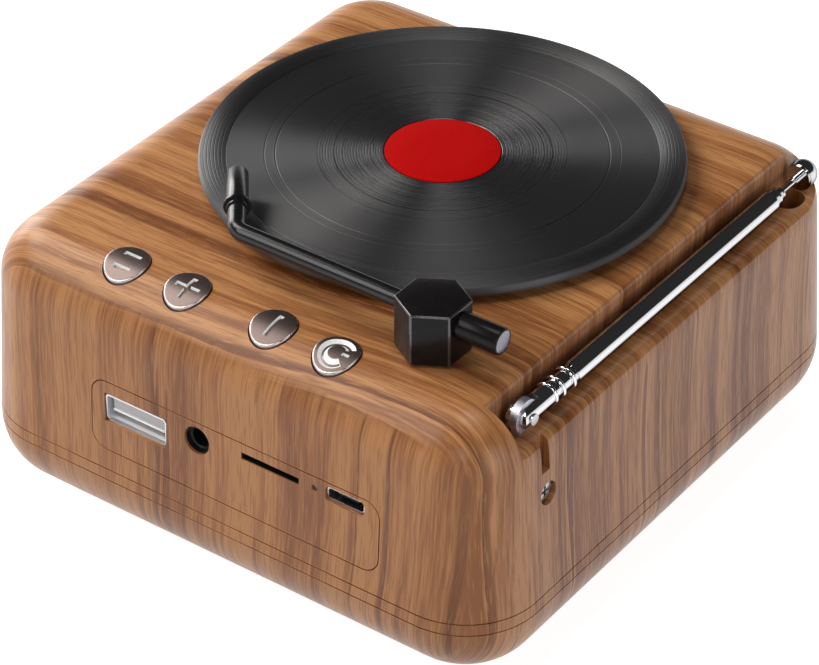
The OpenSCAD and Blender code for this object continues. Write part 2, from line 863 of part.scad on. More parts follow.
module motor_bracket() {
    color(metal) difference() {
        union() {
            translate([motor_x, 0, 0]) bar_z(motor_r, motor_top, bracket_top);
            for (a = bracket_post_angles) translate([motor_x, 0, 0]) rotate(a)
                box([0, -bracket_post_r, motor_top], [bracket_post_reach, bracket_post_r, bracket_top]);
            at_bracket_posts() bar_z(bracket_post_r, motor_top, bracket_top);
        }
        translate([motor_x, 0, 0]) bar_z(motor_nose_r + seat_gap, motor_top - 1, bracket_top + 1);
        at_bracket_posts() bar_z(small_shank_r + seat_gap, motor_top - 1, bracket_top + 1);
    }
}

module motor_screws() {
    color(metal) at_bracket_posts()
        screw_up(motor_top, small_shank_r, small_head_r, small_head_h, small_screw_len - 1);
}

// Six-sided prism with its top edges bevelled
module bevelled_hexagon() {
    difference() {
        translate([0, 0, block_low]) cylinder(r = block_w / 2, h = block_h, $fn = 6);
        for (i = [0:5]) rotate(30 + 60 * i) translate([block_flat, 0, block_top])
            rotate([0, 45, 0]) cube([block_bevel * sqrt(2), block_w, block_bevel * sqrt(2)], center = true);
    }
}

module arm_block() {
    color(black) translate([arm_x, arm_y, 0]) difference() {
        bevelled_hexagon();
        bar_z(arm_pin_r + seat_gap, block_low - 1, block_low + arm_pin_in);
        translate([0, 0, arm_z]) rotate([90, 0, 0]) {
            translate([0, 0, block_flat - arm_grip]) cylinder(r = arm_r + seat_gap, h = arm_grip + 1);
            translate([0, 0, -block_flat - 1]) cylinder(r = weight_spigot_r + seat_gap, h = arm_grip + 1);
        }
    }
}

// Runs its children in the head's own frame: X along the head, away from the turn
module at_arm_turn() {
    translate([arm_x, arm_y - arm_len, arm_z]) rotate(-90 - arm_turn) children();
}

module arm_tube() {
    bend_len = arm_bend_r * tan(arm_turn / 2);
    start = block_flat - arm_grip;
    color(black) translate([arm_x - arm_bend_r, arm_y - arm_len + bend_len, arm_z]) {
        translate([arm_bend_r, -arm_lap, 0]) rotate([-90, 0, 0])
            cylinder(r = arm_r, h = arm_len - start - bend_len + arm_lap);
        rotate(-arm_turn) {
            rotate_extrude(angle = arm_turn) translate([arm_bend_r, 0]) circle(r = arm_bend_tube_r);
            translate([arm_bend_r, arm_lap, 0]) rotate([90, 0, 0])
                cylinder(r = arm_r, h = head_len - barrel_len + 2 - bend_len + arm_lap);
        }
    }
}

module arm_head() {
    color(black) at_arm_turn() difference() {
        union() {
            bar_x(collar_r, head_len - barrel_len - collar_t, head_len - barrel_len);
            bar_x(head_r, head_len - barrel_len - collar_t - 1, head_len);
        }
        bar_x(arm_r + seat_gap, 0, head_len - barrel_len + 2 + seat_gap);
    }
}

module counterweight() {
    color(black) translate([arm_x, arm_y, arm_z]) rotate([-90, 0, 0]) {
        bar_z(weight_spigot_r, block_flat - arm_grip, block_flat + 1);
        bar_z(weight_r, block_flat, weight_len - 0.4);
        bar_z(weight_r - 0.4, weight_len - 1, weight_len);
    }
}

module arm_pin() {
    color(metal) translate([arm_x, arm_y, 0])
        bar_z(arm_pin_r, arm_pin_low, block_low + arm_pin_in - seat_gap);
}

module arm_bush() {
    color(bronze) translate([arm_x, arm_y, 0])
        tube_z(arm_bush_r, arm_pin_r + run_gap, arm_bush_low, z_deck);
}

module arm_clip() {
    low = arm_bush_low - pass_gap - arm_clip_t;
    color(metal) translate([arm_x, arm_y, 0])
        tube_z(arm_pin_r + 1.4, arm_pin_r + seat_gap, low, low + arm_clip_t);
}

// One key: a cap whose top follows the rounded edge, two ears under the shell and a stem
module key(y) {
    color("#6f6258") translate([0, y, 0]) {
        intersection() {
            translate([key_x, 0, 0]) bar_z(key_r, key_skirt_z, z_deck + 2 * key_proud);
            translate([0, body_d / 2, 0]) rotate([90, 0, 0]) linear_extrude(body_d) {
                translate([deck_edge_x, top_arc_z]) circle(r = top_edge_r + key_proud);
                square([deck_edge_x, z_deck + key_proud]);
            }
        }
        box([key_x - key_ear_w / 2, -key_r - key_ear_out, key_ear_top - key_ear_h],
            [key_x + key_ear_w / 2, key_r + key_ear_out, key_ear_top]);
        translate([key_x, 0, 0]) bar_z(key_stem_r, key_stem_low, key_skirt_z + 1);
    }
}

module key_1() { key(key_1_y); }
module key_2() { key(key_2_y); }
module key_3() { key(key_3_y); }
module key_4() { key(key_4_y); }

module key_switches() {
    half = switch_w / 2;
    color("#2a2a2c") for (y = key_ys) translate([key_x, y, key_board_top]) difference() {
        box([-half, -half, 0], [half, half, switch_h]);
        bar_z(switch_well_r, switch_h - switch_well_d, switch_h + 1);
    }
}

module key_board() {
    color(board_green) difference() {
        box([key_board_x0, key_board_y0, key_board_top - board_t],
            [key_board_x1, key_board_y1, key_board_top]);
        at_key_bosses() bar_z(small_shank_r + seat_gap, 0, z_deck);
    }
}

module key_board_screws() {
    color(metal) at_key_bosses()
        screw_up(key_board_top - board_t, small_shank_r, small_head_r, small_head_h, small_screw_len - 1);
}

module main_board() {
    color(board_green) difference() {
        box([board_x0, board_y0, board_low], [board_x1, board_y1, board_top]);
        box([panel_face_x - usb_len - 0.7, usb_y - usb_w / 2 - pass_gap, 0],
            [body_w, usb_y + usb_w / 2 + pass_gap, body_h]);
        box([panel_face_x - wall_t - audio_len - 0.6, audio_y - audio_body / 2 - pass_gap, 0],
            [body_w, audio_y + audio_body / 2 + pass_gap, body_h]);
        at_board_bosses() bar_z(small_shank_r + seat_gap, 0, z_deck);
        at_case_screws() bar_z(case_boss_r + pass_gap, 0, z_deck);
    }
}

// Flat chip on the main board, centred on a point of it
module chip(x, y, w, d, h) {
    translate([x, y, board_top]) box([-w / 2, -d / 2, 0], [w / 2, d / 2, h]);
}

module board_chips() {
    color("#26262a") {
        chip(chip_x, chip_y, chip_w, chip_w, chip_h);
        chip(chip_x, memory_y, memory_w, memory_d, memory_h);
        for (s = [-1, 1]) translate([capacitor_x, capacitor_y + s * capacitor_step, 0])
            bar_z(capacitor_r, board_top, board_top + capacitor_h);
    }
}

module board_screws() {
    color(metal) at_board_bosses()
        screw_up(board_low, small_shank_r, small_head_r, small_head_h, small_screw_len);
}

module usb_socket() {
    front = panel_face_x - usb_set;
    color(metal) translate([0, usb_y, usb_z]) {
        difference() {
            along_x(front - usb_len, front) square([usb_w, usb_h], center = true);
            along_x(front - usb_len + 3, front + 1)
                square([usb_w - 2 * metal_t, usb_h - 2 * metal_t], center = true);
        }
        box([front - usb_len + 2, -usb_w / 2 + 1, 0.1], [front - 1, usb_w / 2 - 1, 1.7]);
    }
}

module audio_socket() {
    front = panel_face_x - audio_set;
    shoulder = panel_face_x - wall_t - 0.4;
    color(black) translate([0, audio_y, audio_z]) difference() {
        union() {
            along_x(shoulder - audio_len, shoulder) square(audio_body, center = true);
            bar_x(audio_nose_r, shoulder - 1, front);
        }
        bar_x(audio_bore_r, shoulder - audio_len + 1.2, front + 1);
    }
}

module card_socket() {
    front = panel_face_x - wall_t - 0.3;
    color(metal) difference() {
        box([front - card_len, card_y - card_w / 2, board_top],
            [front, card_y + card_w / 2, board_top + card_h]);
        box([front - card_len + 1, card_y - card_slot_w / 2, socket_z - card_slot_h / 2],
            [front + 1, card_y + card_slot_w / 2, socket_z + card_slot_h / 2]);
    }
}

module power_socket() {
    front = panel_face_x - power_set;
    color(metal) translate([0, power_y, power_z]) {
        difference() {
            along_x(front - power_len, front) rounded_rect(power_w, power_h, power_r);
            along_x(front - power_len + 1, front + 1)
                rounded_rect(power_w - 2 * metal_t, power_h - 2 * metal_t, power_r - metal_t);
        }
        box([front - power_len + 0.5, -power_w / 2 + 1.4, -0.35], [front - 1, power_w / 2 - 1.4, 0.35]);
    }
}

module status_light() {
    color("#d8dde2") translate([0, light_y, 0]) {
        box([board_x1 - 3, -1, board_top], [board_x1, 1, socket_z + 1]);
        translate([0, 0, socket_z + 0.2]) bar_x(light_r, board_x1 - 1, panel_face_x - 0.6);
    }
}

module battery() {
    button_r = battery_r * 0.35;
    color("#2f6fae") translate([battery_x, battery_len / 2, battery_z]) rotate([90, 0, 0]) {
        bar_z(battery_r, 1, battery_len);
        bar_z(button_r, 0, 2);
    }
}

module speaker_frame() {
    back_r = magnet_r - 1;
    color("#55585c") translate([speaker_x, 0, 0]) difference() {
        union() {
            rotate_extrude() polygon([
                [cone_r + 3, speaker_seat], [speaker_r, speaker_seat],
                [speaker_r, speaker_flange_top], [cone_r + 4, speaker_flange_top],
                [back_r + 1.2, speaker_back], [coil_r + 0.7, speaker_back],
                [coil_r + 0.7, speaker_back - 1.2], [back_r, speaker_back - 1.2],
                [cone_r + 3, speaker_flange_top]
            ]);
            for (a = [45:90:315]) rotate(a) translate([speaker_screw_r, 0, 0])
                bar_z(speaker_ear_r, speaker_seat, speaker_flange_top);
        }
        for (a = [45:90:315]) rotate(a) translate([speaker_screw_r, 0, 0])
            bar_z(small_shank_r + seat_gap, speaker_seat - 1, speaker_back);
        for (a = [0:90:270]) rotate(a) translate([(cone_r + back_r) / 2 + 3, 0, 0])
            bar_z(3.4, speaker_flange_top + 1.6, speaker_back - 1.6);
    }
}

module speaker_magnet() {
    color("#3b3d42") translate([speaker_x, 0, 0])
        tube_z(magnet_r, coil_r + 2, speaker_back, speaker_back + magnet_h);
}

module speaker_pole() {
    color(metal) translate([speaker_x, 0, 0]) {
        bar_z(coil_r - 0.7, speaker_back - 1, speaker_back + magnet_h + 1);
        bar_z(magnet_r - 0.6, speaker_back + magnet_h, speaker_back + magnet_h + 1.6);
    }
}

// Paper cone with its dust cap side down and the coil former at the back
module speaker_cone() {
    low = speaker_seat + 0.3;
    mid = speaker_back - cone_in;
    color("#222326") translate([speaker_x, 0, 0]) {
        rotate_extrude() polygon([
            [cone_r, low], [cone_r, low + paper_t],
            [coil_r + 0.3, mid + paper_t], [0, mid + paper_t],
            [0, mid], [coil_r + 0.3, mid]
        ]);
        tube_z(coil_r + 0.3, coil_r - 0.3, mid, speaker_back + 1.4);
    }
}

module speaker_surround() {
    low = speaker_seat + 0.3;
    color("#161618") translate([speaker_x, 0, 0]) rotate_extrude() difference() {
        translate([cone_r + roll_r, low]) circle(r = roll_r);
        translate([cone_r + roll_r, low]) circle(r = roll_r - paper_t);
        translate([cone_r - 1, low - 2]) square([6, 2]);
    }
}

module speaker_screws() {
    color(metal) at_speaker_screws() translate([0, 0, 2 * speaker_flange_top]) mirror([0, 0, 1])
        screw_up(speaker_flange_top, small_shank_r, small_head_r, small_head_h, speaker_screw_len - 0.4);
}

// Flat plate with a round head on the hinge and a stem in the case's seat
module aerial_bracket() {
    color(metal) translate([pivot_x, aerial_y, 0]) difference() {
        union() {
            translate([0, 0, aerial_z]) rotate([90, 0, 0])
                cylinder(r = tongue_r, h = tongue_t, center = true);
            box([-stem_w / 2, -tongue_t / 2, stem_low], [stem_w / 2, tongue_t / 2, aerial_z]);
        }
        translate([0, 0, aerial_z]) rotate([90, 0, 0])
            cylinder(r = rivet_r + run_gap, h = 2 * tongue_t, center = true);
        translate([0, 0, aerial_screw_z]) rotate([90, 0, 0])
            cylinder(r = small_shank_r + seat_gap, h = 2 * tongue_t, center = true);
    }
}

module aerial_screw() {
    head_seat = aerial_y + tongue_t / 2 + screw_land;
    color(metal) translate([pivot_x, head_seat, aerial_screw_z]) rotate([90, 0, 0])
        screw_up(0, small_shank_r, small_head_r, small_head_h, screw_land + tongue_t + screw_grip);
}

// Runs its children in the aerial's own frame: X from the hinge towards the tip
module along_aerial() {
    translate([pivot_x, aerial_y, aerial_z]) rotate(180) children();
}

module aerial_fork() {
    color(metal) along_aerial() difference() {
        union() {
            intersection() {
                bar_x(aerial_r, -aerial_r, fork_slot_end + 2);
                union() {
                    rotate([90, 0, 0]) cylinder(r = aerial_r, h = 4 * aerial_r, center = true);
                    box([0, -aerial_r, -aerial_r], [fork_slot_end + 2, aerial_r, aerial_r]);
                }
            }
            bar_x(aerial_r, fork_slot_end + 1, ring_places[0]);
            bar_x(aerial_r - 0.25, fork_slot_end + 1, fork_len);
            for (x = ring_places)
                translate([x, 0, 0]) rotate([0, 90, 0]) rotate_extrude() {
                    translate([aerial_r - 0.1, 0]) circle(r = ring_r);
                    translate([0, -ring_r]) square([aerial_r - 0.1, 2 * ring_r]);
                }
            bar_x(tube_bore_r - seat_gap, fork_len - 1, fork_len + fork_spigot);
        }
        box([-2 * aerial_r, -tongue_t / 2 - fork_wall_gap, -2 * aerial_r],
            [fork_slot_end, tongue_t / 2 + fork_wall_gap, 2 * aerial_r]);
        rotate([90, 0, 0]) cylinder(r = rivet_r + seat_gap, h = 4 * aerial_r, center = true);
    }
}

module aerial_rivet() {
    reach = aerial_r + 0.3;
    color(metal) along_aerial() rotate([90, 0, 0]) {
        cylinder(r = rivet_r, h = 2 * reach, center = true);
        for (s = [-1, 1])
            translate([0, 0, s * (reach - 0.15)]) cylinder(r = rivet_head_r, h = 0.3, center = true);
    }
}

// Tube along the aerial with a rolled-in front end
module rolled_tube(r, bore, x0, x1, roll) {
    difference() {
        rotate([0, 90, 0]) rotate_extrude() polygon([
            [0, x0], [r, x0], [r, x1 - roll], [bore + 0.12, x1], [0, x1]
        ]);
        bar_x(bore, x0 - 1, x1 + 1);
    }
}

module aerial_tube() {
    color(metal) along_aerial() rolled_tube(aerial_r, tube_bore_r, fork_len, aerial_tube_len, 1.2);
}

module aerial_inner_tube() {
    color(metal) along_aerial()
        rolled_tube(inner_tube_r, inner_bore_r, aerial_stack_start, aerial_tube_len + inner_tube_out, 1);
}

module aerial_rod() {
    neck_start = aerial_tube_len + inner_tube_out + 0.6;
    cap_start = aerial_len - cap_len;
    color(metal) along_aerial() {
        bar_x(rod_r, aerial_stack_start, neck_start);
        bar_x(neck_r, neck_start - 1, cap_start);
        bar_x(rod_bush_r, cap_start - bush_len, cap_start);
        translate([cap_start, 0, 0]) rotate([0, 90, 0]) rotate_extrude() intersection() {
            union() {
                translate([0, cap_rim]) square([aerial_cap_r, cap_len - aerial_cap_r - cap_rim]);
                square([aerial_cap_r - cap_rim, 2 * cap_rim]);
                translate([0, cap_len - aerial_cap_r]) circle(r = aerial_cap_r);
            }
            square([aerial_cap_r, cap_len]);
        }
    }
}

top_shell();
bottom_cover();
socket_panel();
feet();
case_screws();
record();
record_label();
platter();
spindle();
spindle_bush();
spindle_clip();
drive_gear();
motor();
motor_shaft();
motor_pinion();
motor_bracket();
motor_screws();
arm_block();
arm_tube();
arm_head();
counterweight();
arm_pin();
arm_bush();
arm_clip();
key_1();
key_2();
key_3();
key_4();
key_switches();
key_board();
key_board_screws();
main_board();
board_chips();
board_screws();
usb_socket();
audio_socket();
card_socket();
power_socket();
status_light();
battery();
speaker_frame();
speaker_magnet();
speaker_pole();
speaker_cone();
speaker_surround();
speaker_screws();
aerial_bracket();
aerial_screw();
aerial_fork();
aerial_rivet();
aerial_tube();
aerial_inner_tube();
aerial_rod();
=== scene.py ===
"""Looks of the small speaker in the form of a record player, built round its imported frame.

Everything is in metres in the frame's own axes: X to the user's right, where the sockets are,
Y to the back, where the aerial is, and Z up from the table.
"""

import json
import logging
import math
from dataclasses import dataclass
from enum import Enum
from typing import Sequence, Union

import bmesh
import bpy
from mathutils import Matrix, Vector


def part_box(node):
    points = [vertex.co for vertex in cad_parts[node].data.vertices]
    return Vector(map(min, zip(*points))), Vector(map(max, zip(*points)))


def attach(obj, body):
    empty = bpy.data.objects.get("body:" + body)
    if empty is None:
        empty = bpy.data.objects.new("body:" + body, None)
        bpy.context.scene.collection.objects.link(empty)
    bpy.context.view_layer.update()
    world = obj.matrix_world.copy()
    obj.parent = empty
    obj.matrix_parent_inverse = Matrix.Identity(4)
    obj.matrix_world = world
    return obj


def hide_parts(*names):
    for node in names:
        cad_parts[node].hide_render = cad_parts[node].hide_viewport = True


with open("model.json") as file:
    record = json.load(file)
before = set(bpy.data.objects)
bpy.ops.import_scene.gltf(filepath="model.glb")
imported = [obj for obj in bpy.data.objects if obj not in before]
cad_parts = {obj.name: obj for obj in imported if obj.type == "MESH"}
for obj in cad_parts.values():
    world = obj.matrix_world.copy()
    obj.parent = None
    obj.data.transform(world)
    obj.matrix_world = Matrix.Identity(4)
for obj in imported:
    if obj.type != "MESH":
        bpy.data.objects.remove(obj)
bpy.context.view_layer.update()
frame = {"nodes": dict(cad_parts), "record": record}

LOG = logging.getLogger("record_player_speaker")
MM = 0.001
SHARP_ANGLE = math.radians(32)

SMALL_TURN = 64
BUMP_FILTER = 0.1
WELD = 1e-7
# Detail and roughness of a fine noise, and the span that holds most of its values
FINE = (3.0, 0.6)
MOST = (0.3, 0.7)

Point = tuple[float, float]
Triple = tuple[float, float, float]
Colour = Triple
Wire = bpy.types.NodeSocket
Mesh = bmesh.types.BMesh
Feed = Union[Wire, float, Sequence[float]]


class Slot(Enum):
    """The record's material slots."""

    WOOD = "wood_grain"
    DISC = "disc_black"
    LABEL = "label_red"
    ARM = "arm_black"
    KEY = "key_bronze"
    CHROME = "chrome"
    STEEL = "steel"
    BRASS = "brass"
    NYLON = "nylon"
    BOARD = "board_green"
    CHIP = "chip_black"
    SOCKET = "socket_black"
    FOOT = "foot_rubber"
    LIGHT = "light_clear"
    CELL = "cell_wrap"
    MAGNET = "magnet_grey"
    CONE = "cone_paper"


class Axis(Enum):
    """Direction in which a metal is brushed."""

    NONE = (1.0, 1.0, 1.0)
    X = (0.03, 1.0, 1.0)
    Y = (1.0, 0.03, 1.0)
    Z = (1.0, 1.0, 0.03)


class Shader:
    """Nodes of one procedural material round a Principled shader."""

    def __init__(self, name: str) -> None:
        """Starts a material with its shader wired to the output.

        Args:
            name: Name of the material.
        """
        self.material = bpy.data.materials.new(name)
        self.material.use_nodes = True
        self.tree = self.material.node_tree
        self.tree.nodes.clear()
        output = self.add("ShaderNodeOutputMaterial")
        self.surface = self.add("ShaderNodeBsdfPrincipled")
        self.tree.links.new(self.surface.outputs["BSDF"], output.inputs["Surface"])
        self.coordinates = self.add("ShaderNodeTexCoord")
        self.place = self.coordinates.outputs["Object"]

    def add(self, kind: str, **settings: object) -> bpy.types.Node:
        """Adds a node.

        Args:
            kind: Blender's name of the node type.
            settings: Properties to set on it.

        Returns:
            The new node.
        """
        node = self.tree.nodes.new(kind)
        for key, value in settings.items():
            setattr(node, key, value)
        return node

    def feed(self, socket: Wire, value: Feed) -> None:
        """Links a socket to another one, or sets it to a plain value.

        Args:
            socket: Input socket.
            value: Output socket, number or colour.
        """
        if isinstance(value, Wire):
            self.tree.links.new(value, socket)
        elif isinstance(value, (int, float)):
            socket.default_value = value
        else:
            socket.default_value = (*value, 1.0)[:len(socket.default_value)]

    def dress(self, **inputs: Feed) -> None:
        """Feeds the shader's own sockets, named with _ for a space."""
        for key, value in inputs.items():
            self.feed(self.surface.inputs[key.replace("_", " ")], value)

    def wire(self, kind: str, *values: Feed, **settings: object) -> Wire:
        """Adds a node and feeds its inputs in their order.

        Args:
            kind: Blender's name of the node type.
            values: Values or sockets for its first inputs.
            settings: Properties to set on it.

        Returns:
            Its first output.
        """
        node = self.add(kind, **settings)
        for socket, value in zip(node.inputs, values):
            self.feed(socket, value)
        return node.outputs[0]

    def math(self, operation: str, first: Feed, second: Feed = 0.0) -> Wire:
        """Returns the result of a math node, with Blender's name for the operation."""
        return self.wire("ShaderNodeMath", first, second, operation=operation)

    def split(self, vector: Wire) -> list[Wire]:
        """Returns the three parts of a vector."""
        return list(self.wire("ShaderNodeSeparateXYZ", vector).node.outputs)

    def join(self, x: Feed, y: Feed, z: Feed = 0.0) -> Wire:
        """Returns the vector of three parts."""
        return self.wire("ShaderNodeCombineXYZ", x, y, z)

    def stretch(self, vector: Feed, scale: Triple) -> Wire:
        """Returns a vector with its parts scaled."""
        return self.wire("ShaderNodeMapping", vector, (0, 0, 0), (0, 0, 0), scale)

    def noise(self, vector: Feed, size: float, detail: float = 2.0, roughness: float = 0.5) -> Wire:
        """Returns a noise from 0 to 1 whose largest blots have that size in metres."""
        return self.wire("ShaderNodeTexNoise", vector, 0.0, 1.0 / size, detail, roughness)

    def step(self, value: Feed, low: float, high: float, start: float = 0.0, end: float = 1.0) -> Wire:
        """Returns a smooth step from start to end while the value goes from low to high."""
        return self.wire("ShaderNodeMapRange", value, low, high, start, end, interpolation_type="SMOOTHSTEP")

    def ramp(self, value: Feed, stops: Sequence[tuple[float, Colour]]) -> Wire:
        """Adds a colour ramp.

        Args:
            value: Value from 0 to 1.
            stops: Places and colours along it.

        Returns:
            The colour.
        """
        node = self.add("ShaderNodeValToRGB")
        elements = node.color_ramp.elements
        while len(elements) < len(stops):
            elements.new(1.0)
        for element, (position, colour) in zip(elements, stops):
            element.position = position
            element.color = (*colour, 1.0)
        self.feed(node.inputs[0], value)
        return node.outputs[0]

    def mix(self, share: Feed, first: Feed, second: Feed, blend: str = "MIX") -> Wire:
        """Mixes two colours.

        Args:
            share: Share of the second one.
            first: First colour.
            second: Second colour.
            blend: Blender's name of the blend.

        Returns:
            The mixed colour.
        """
        node = self.add("ShaderNodeMix", data_type="RGBA", blend_type=blend)
        for index, value in zip((0, 6, 7), (share, first, second)):
            self.feed(node.inputs[index], value)
        return node.outputs[2]

    def tones(self, pattern: Wire, colour: Colour, swing: float, ends: Point) -> Wire:
        """Returns a colour that goes from darker to lighter between two values of a pattern."""
        shades = [tuple(part * (1.0 + sign * swing) for part in colour) for sign in (-1, 1)]
        return self.ramp(pattern, tuple(zip(ends, shades)))

    def around(self, pattern: Wire, middle: float, swing: float) -> Wire:
        """Returns a value that a pattern moves about a middle by a share of it."""
        return self.step(pattern, *MOST, middle * (1.0 - swing), middle * (1.0 + swing))

    def bump(self, height: Feed, strength: float, depth: float) -> None:
        """Raises the surface by a height from 0 to 1, with the depth in metres."""
        self.dress(Normal=self.wire("ShaderNodeBump", strength, depth, BUMP_FILTER, height))


@dataclass(frozen=True)
class Grain:
    """Lay of the printed grain on one face. Lengths in metres."""

    seed: float
    rings: float
    flecks: float
    sway: float
    contrast: float
    coarse: float
    # Colour factor over the face; on the sides it is darker, a painted shade for the lesser light there.
    tint: Colour


@dataclass(frozen=True)
class WoodPrint:
    """Printed walnut film: the grain runs over the deck and down the back, and down each side. The back
    carries a painted cool sheen and the sides a painted shade.

    Lengths are in metres. A layer has its size across, its share of the way along and its detail.
    """

    name: str = "wood_print"
    vein: Colour = (0.170, 0.050, 0.012)
    dark: Colour = (0.265, 0.096, 0.031)
    middle: Colour = (0.410, 0.174, 0.064)
    pale: Colour = (0.545, 0.262, 0.106)
    # Painted sheen: factor that cools and slightly dims the back faces, for the cool light that falls on
    # them.
    back_painted_sheen: Colour = (0.97, 1.01, 1.30)
    deck: Grain = Grain(seed=0.205, rings=3.6, flecks=0.55, sway=0.012, contrast=1.30, coarse=1.25,
                        tint=(1.0, 0.97, 0.88))
    # The sides' darker tint is painted shade for the lesser light on them.
    flank: Grain = Grain(seed=0.093, rings=4.0, flecks=0.50, sway=0.020, contrast=1.25, coarse=1.2,
                         tint=(0.83, 0.775, 0.69))
    coarse_layers: tuple[Triple, ...] = ((0.018, 0.05, 0.0), (0.010, 0.025, 1.0), (0.0026, 0.022, 2.0))
    fine_layers: tuple[Triple, ...] = ((0.00050, 0.025, 2.0), (0.00026, 0.05, 1.0))
    layer_roughness: float = 0.6
    sway_across: float = 0.35
    sway_size: float = 0.085
    waver_along: float = 0.45
    waver_size: float = 0.004
    waver: float = 0.0004
    shares: Triple = (0.26, 0.44, 0.30)
    stops: Triple = (0.41, 0.49, 0.57)
    vein_end: float = 0.34
    vein_groups: Triple = (0.40, 0.56, 0.12)
    fleck_ends: Point = (0.52, 0.68)
    pale_ends: Point = (0.46, 0.30)
    pale_share: float = 0.45
    side_ends: Point = (0.72, 0.9)
    roughness: Point = (0.40, 0.50)
    specular: float = 0.2
    coat: float = 0.38
    coat_roughness: float = 0.28
    relief: float = 0.08
    depth: float = 0.0001

    def _print(self, shader: Shader, across: Wire, along: Wire, grain: Grain) -> tuple[Wire, Wire]:
        """Draws the grain of one face.

        Args:
            shader: Material under construction.
            across: Distance across the grain.
            along: Distance along the grain.
            grain: Lay of the grain.

        Returns:
            Colour of the grain and height of its pores.
        """
        bent = across
        sway = shader.join(shader.math("MULTIPLY", across, self.sway_across), along, grain.seed)
        waver = shader.join(across, shader.math("MULTIPLY", along, self.waver_along), grain.seed)
        for place, size, reach in ((sway, self.sway_size, grain.sway), (waver, self.waver_size, self.waver)):
            swing = shader.math("SUBTRACT", shader.noise(place, size, 1.0), 0.5)
            bent = shader.math("ADD", bent, shader.math("MULTIPLY", swing, reach))
        layers = []
        for coarse, group in ((grain.coarse, self.coarse_layers), (1.0, self.fine_layers)):
            for size, run, detail in group:
                line = shader.join(bent, shader.math("MULTIPLY", along, run), grain.seed + size * coarse)
                layers.append(shader.noise(line, size * coarse, detail, self.layer_roughness))
        groups, bands, streaks, fibres, flecks = layers
        tone: Feed = 0.0
        for layer, share in zip((bands, streaks, fibres), self.shares):
            tone = shader.math("ADD", tone, shader.math("MULTIPLY", layer, share))
        tone = shader.math("MULTIPLY", shader.math("SUBTRACT", tone, 0.5), grain.contrast)
        tone = shader.math("ADD", tone, 0.5)
        colour = shader.ramp(tone, tuple(zip(self.stops, (self.dark, self.middle, self.pale))))
        turns = shader.math("ADD", shader.math("MULTIPLY", bands, grain.rings), streaks)
        lines = shader.step(shader.math("FRACT", turns), 0.0, self.vein_end, 1.0, 0.0)
        vein = shader.math("MULTIPLY", lines, shader.step(groups, *self.vein_groups))
        colour = shader.mix(vein, colour, self.vein)
        colour = shader.mix(shader.step(flecks, *self.fleck_ends, 0.0, grain.flecks), colour, self.dark)
        colour = shader.mix(shader.step(flecks, *self.pale_ends, 0.0, self.pale_share), colour, self.pale)
        # The tint darkens the sides as painted shade.
        return shader.mix(1.0, colour, grain.tint, "MULTIPLY"), flecks

    def material(self) -> bpy.types.Material:
        """Builds the material.

        Returns:
            The finished material.
        """
        shader = Shader(self.name)
        x, y, z = shader.split(shader.place)
        turned_x, turned_y, _ = shader.split(shader.coordinates.outputs["Normal"])
        side = shader.step(shader.math("ABSOLUTE", turned_x), *self.side_ends)
        back = shader.step(turned_y, *self.side_ends)
        deck, deck_pores = self._print(shader, x, shader.math("SUBTRACT", y, z), self.deck)
        flank, flank_pores = self._print(shader, y, z, self.flank)
        # Painted sheen: the back faces take the cool, dimmer tone of the light on them.
        deck = shader.mix(back, deck, shader.mix(1.0, deck, self.back_painted_sheen, "MULTIPLY"))
        pores = shader.mix(side, deck_pores, flank_pores)
        shader.dress(
            Base_Color=shader.mix(side, deck, flank),
            Roughness=shader.step(pores, *MOST, *self.roughness),
            Specular_IOR_Level=self.specular,
            Coat_Weight=self.coat,
            Coat_Roughness=self.coat_roughness)
        shader.bump(pores, self.relief, self.depth)
        return shader.material


@dataclass(frozen=True)
class Moulded:
    """Moulded or coated surface with a faint mottle and a fine texture. Lengths in metres."""

    name: str
    colour: Colour
    roughness: float
    mottle: float = 0.14
    grain: float = 0.0006
    relief: float = 0.06
    specular: float = 0.5
    mottle_ends: Point = (0.35, 0.65)
    swing: float = 0.08
    depth: float = 0.00006

    def material(self) -> bpy.types.Material:
        """Builds the material.

        Returns:
            The finished material.
        """
        shader = Shader(self.name)
        spots = shader.noise(shader.place, self.grain, *FINE)
        shader.dress(
            Base_Color=shader.tones(spots, self.colour, self.mottle, self.mottle_ends),
            Roughness=shader.around(spots, self.roughness, self.swing),
            Specular_IOR_Level=self.specular)
        shader.bump(spots, self.relief, self.depth)
        return shader.material


@dataclass(frozen=True)
class Metal:
    """Metal with the light streaks of its last working. Lengths in metres."""

    name: str
    colour: Colour
    roughness: float
    streak: float = 0.10
    brushed: Axis = Axis.NONE
    grain: float = 0.0004
    relief: float = 0.03
    metallic: float = 1.0
    edge: float = 1.0
    depth: float = 0.00003

    def material(self) -> bpy.types.Material:
        """Builds the material.

        Returns:
            The finished material.
        """
        shader = Shader(self.name)
        lines = shader.noise(shader.stretch(shader.place, self.brushed.value), self.grain, *FINE)
        shader.dress(
            Base_Color=shader.tones(lines, self.colour, self.streak, MOST),
            Metallic=self.metallic,
            Specular_Tint=(self.edge, self.edge, self.edge),
            Roughness=shader.around(lines, self.roughness, 2 * self.streak))
        shader.bump(lines, self.relief, self.depth)
        return shader.material


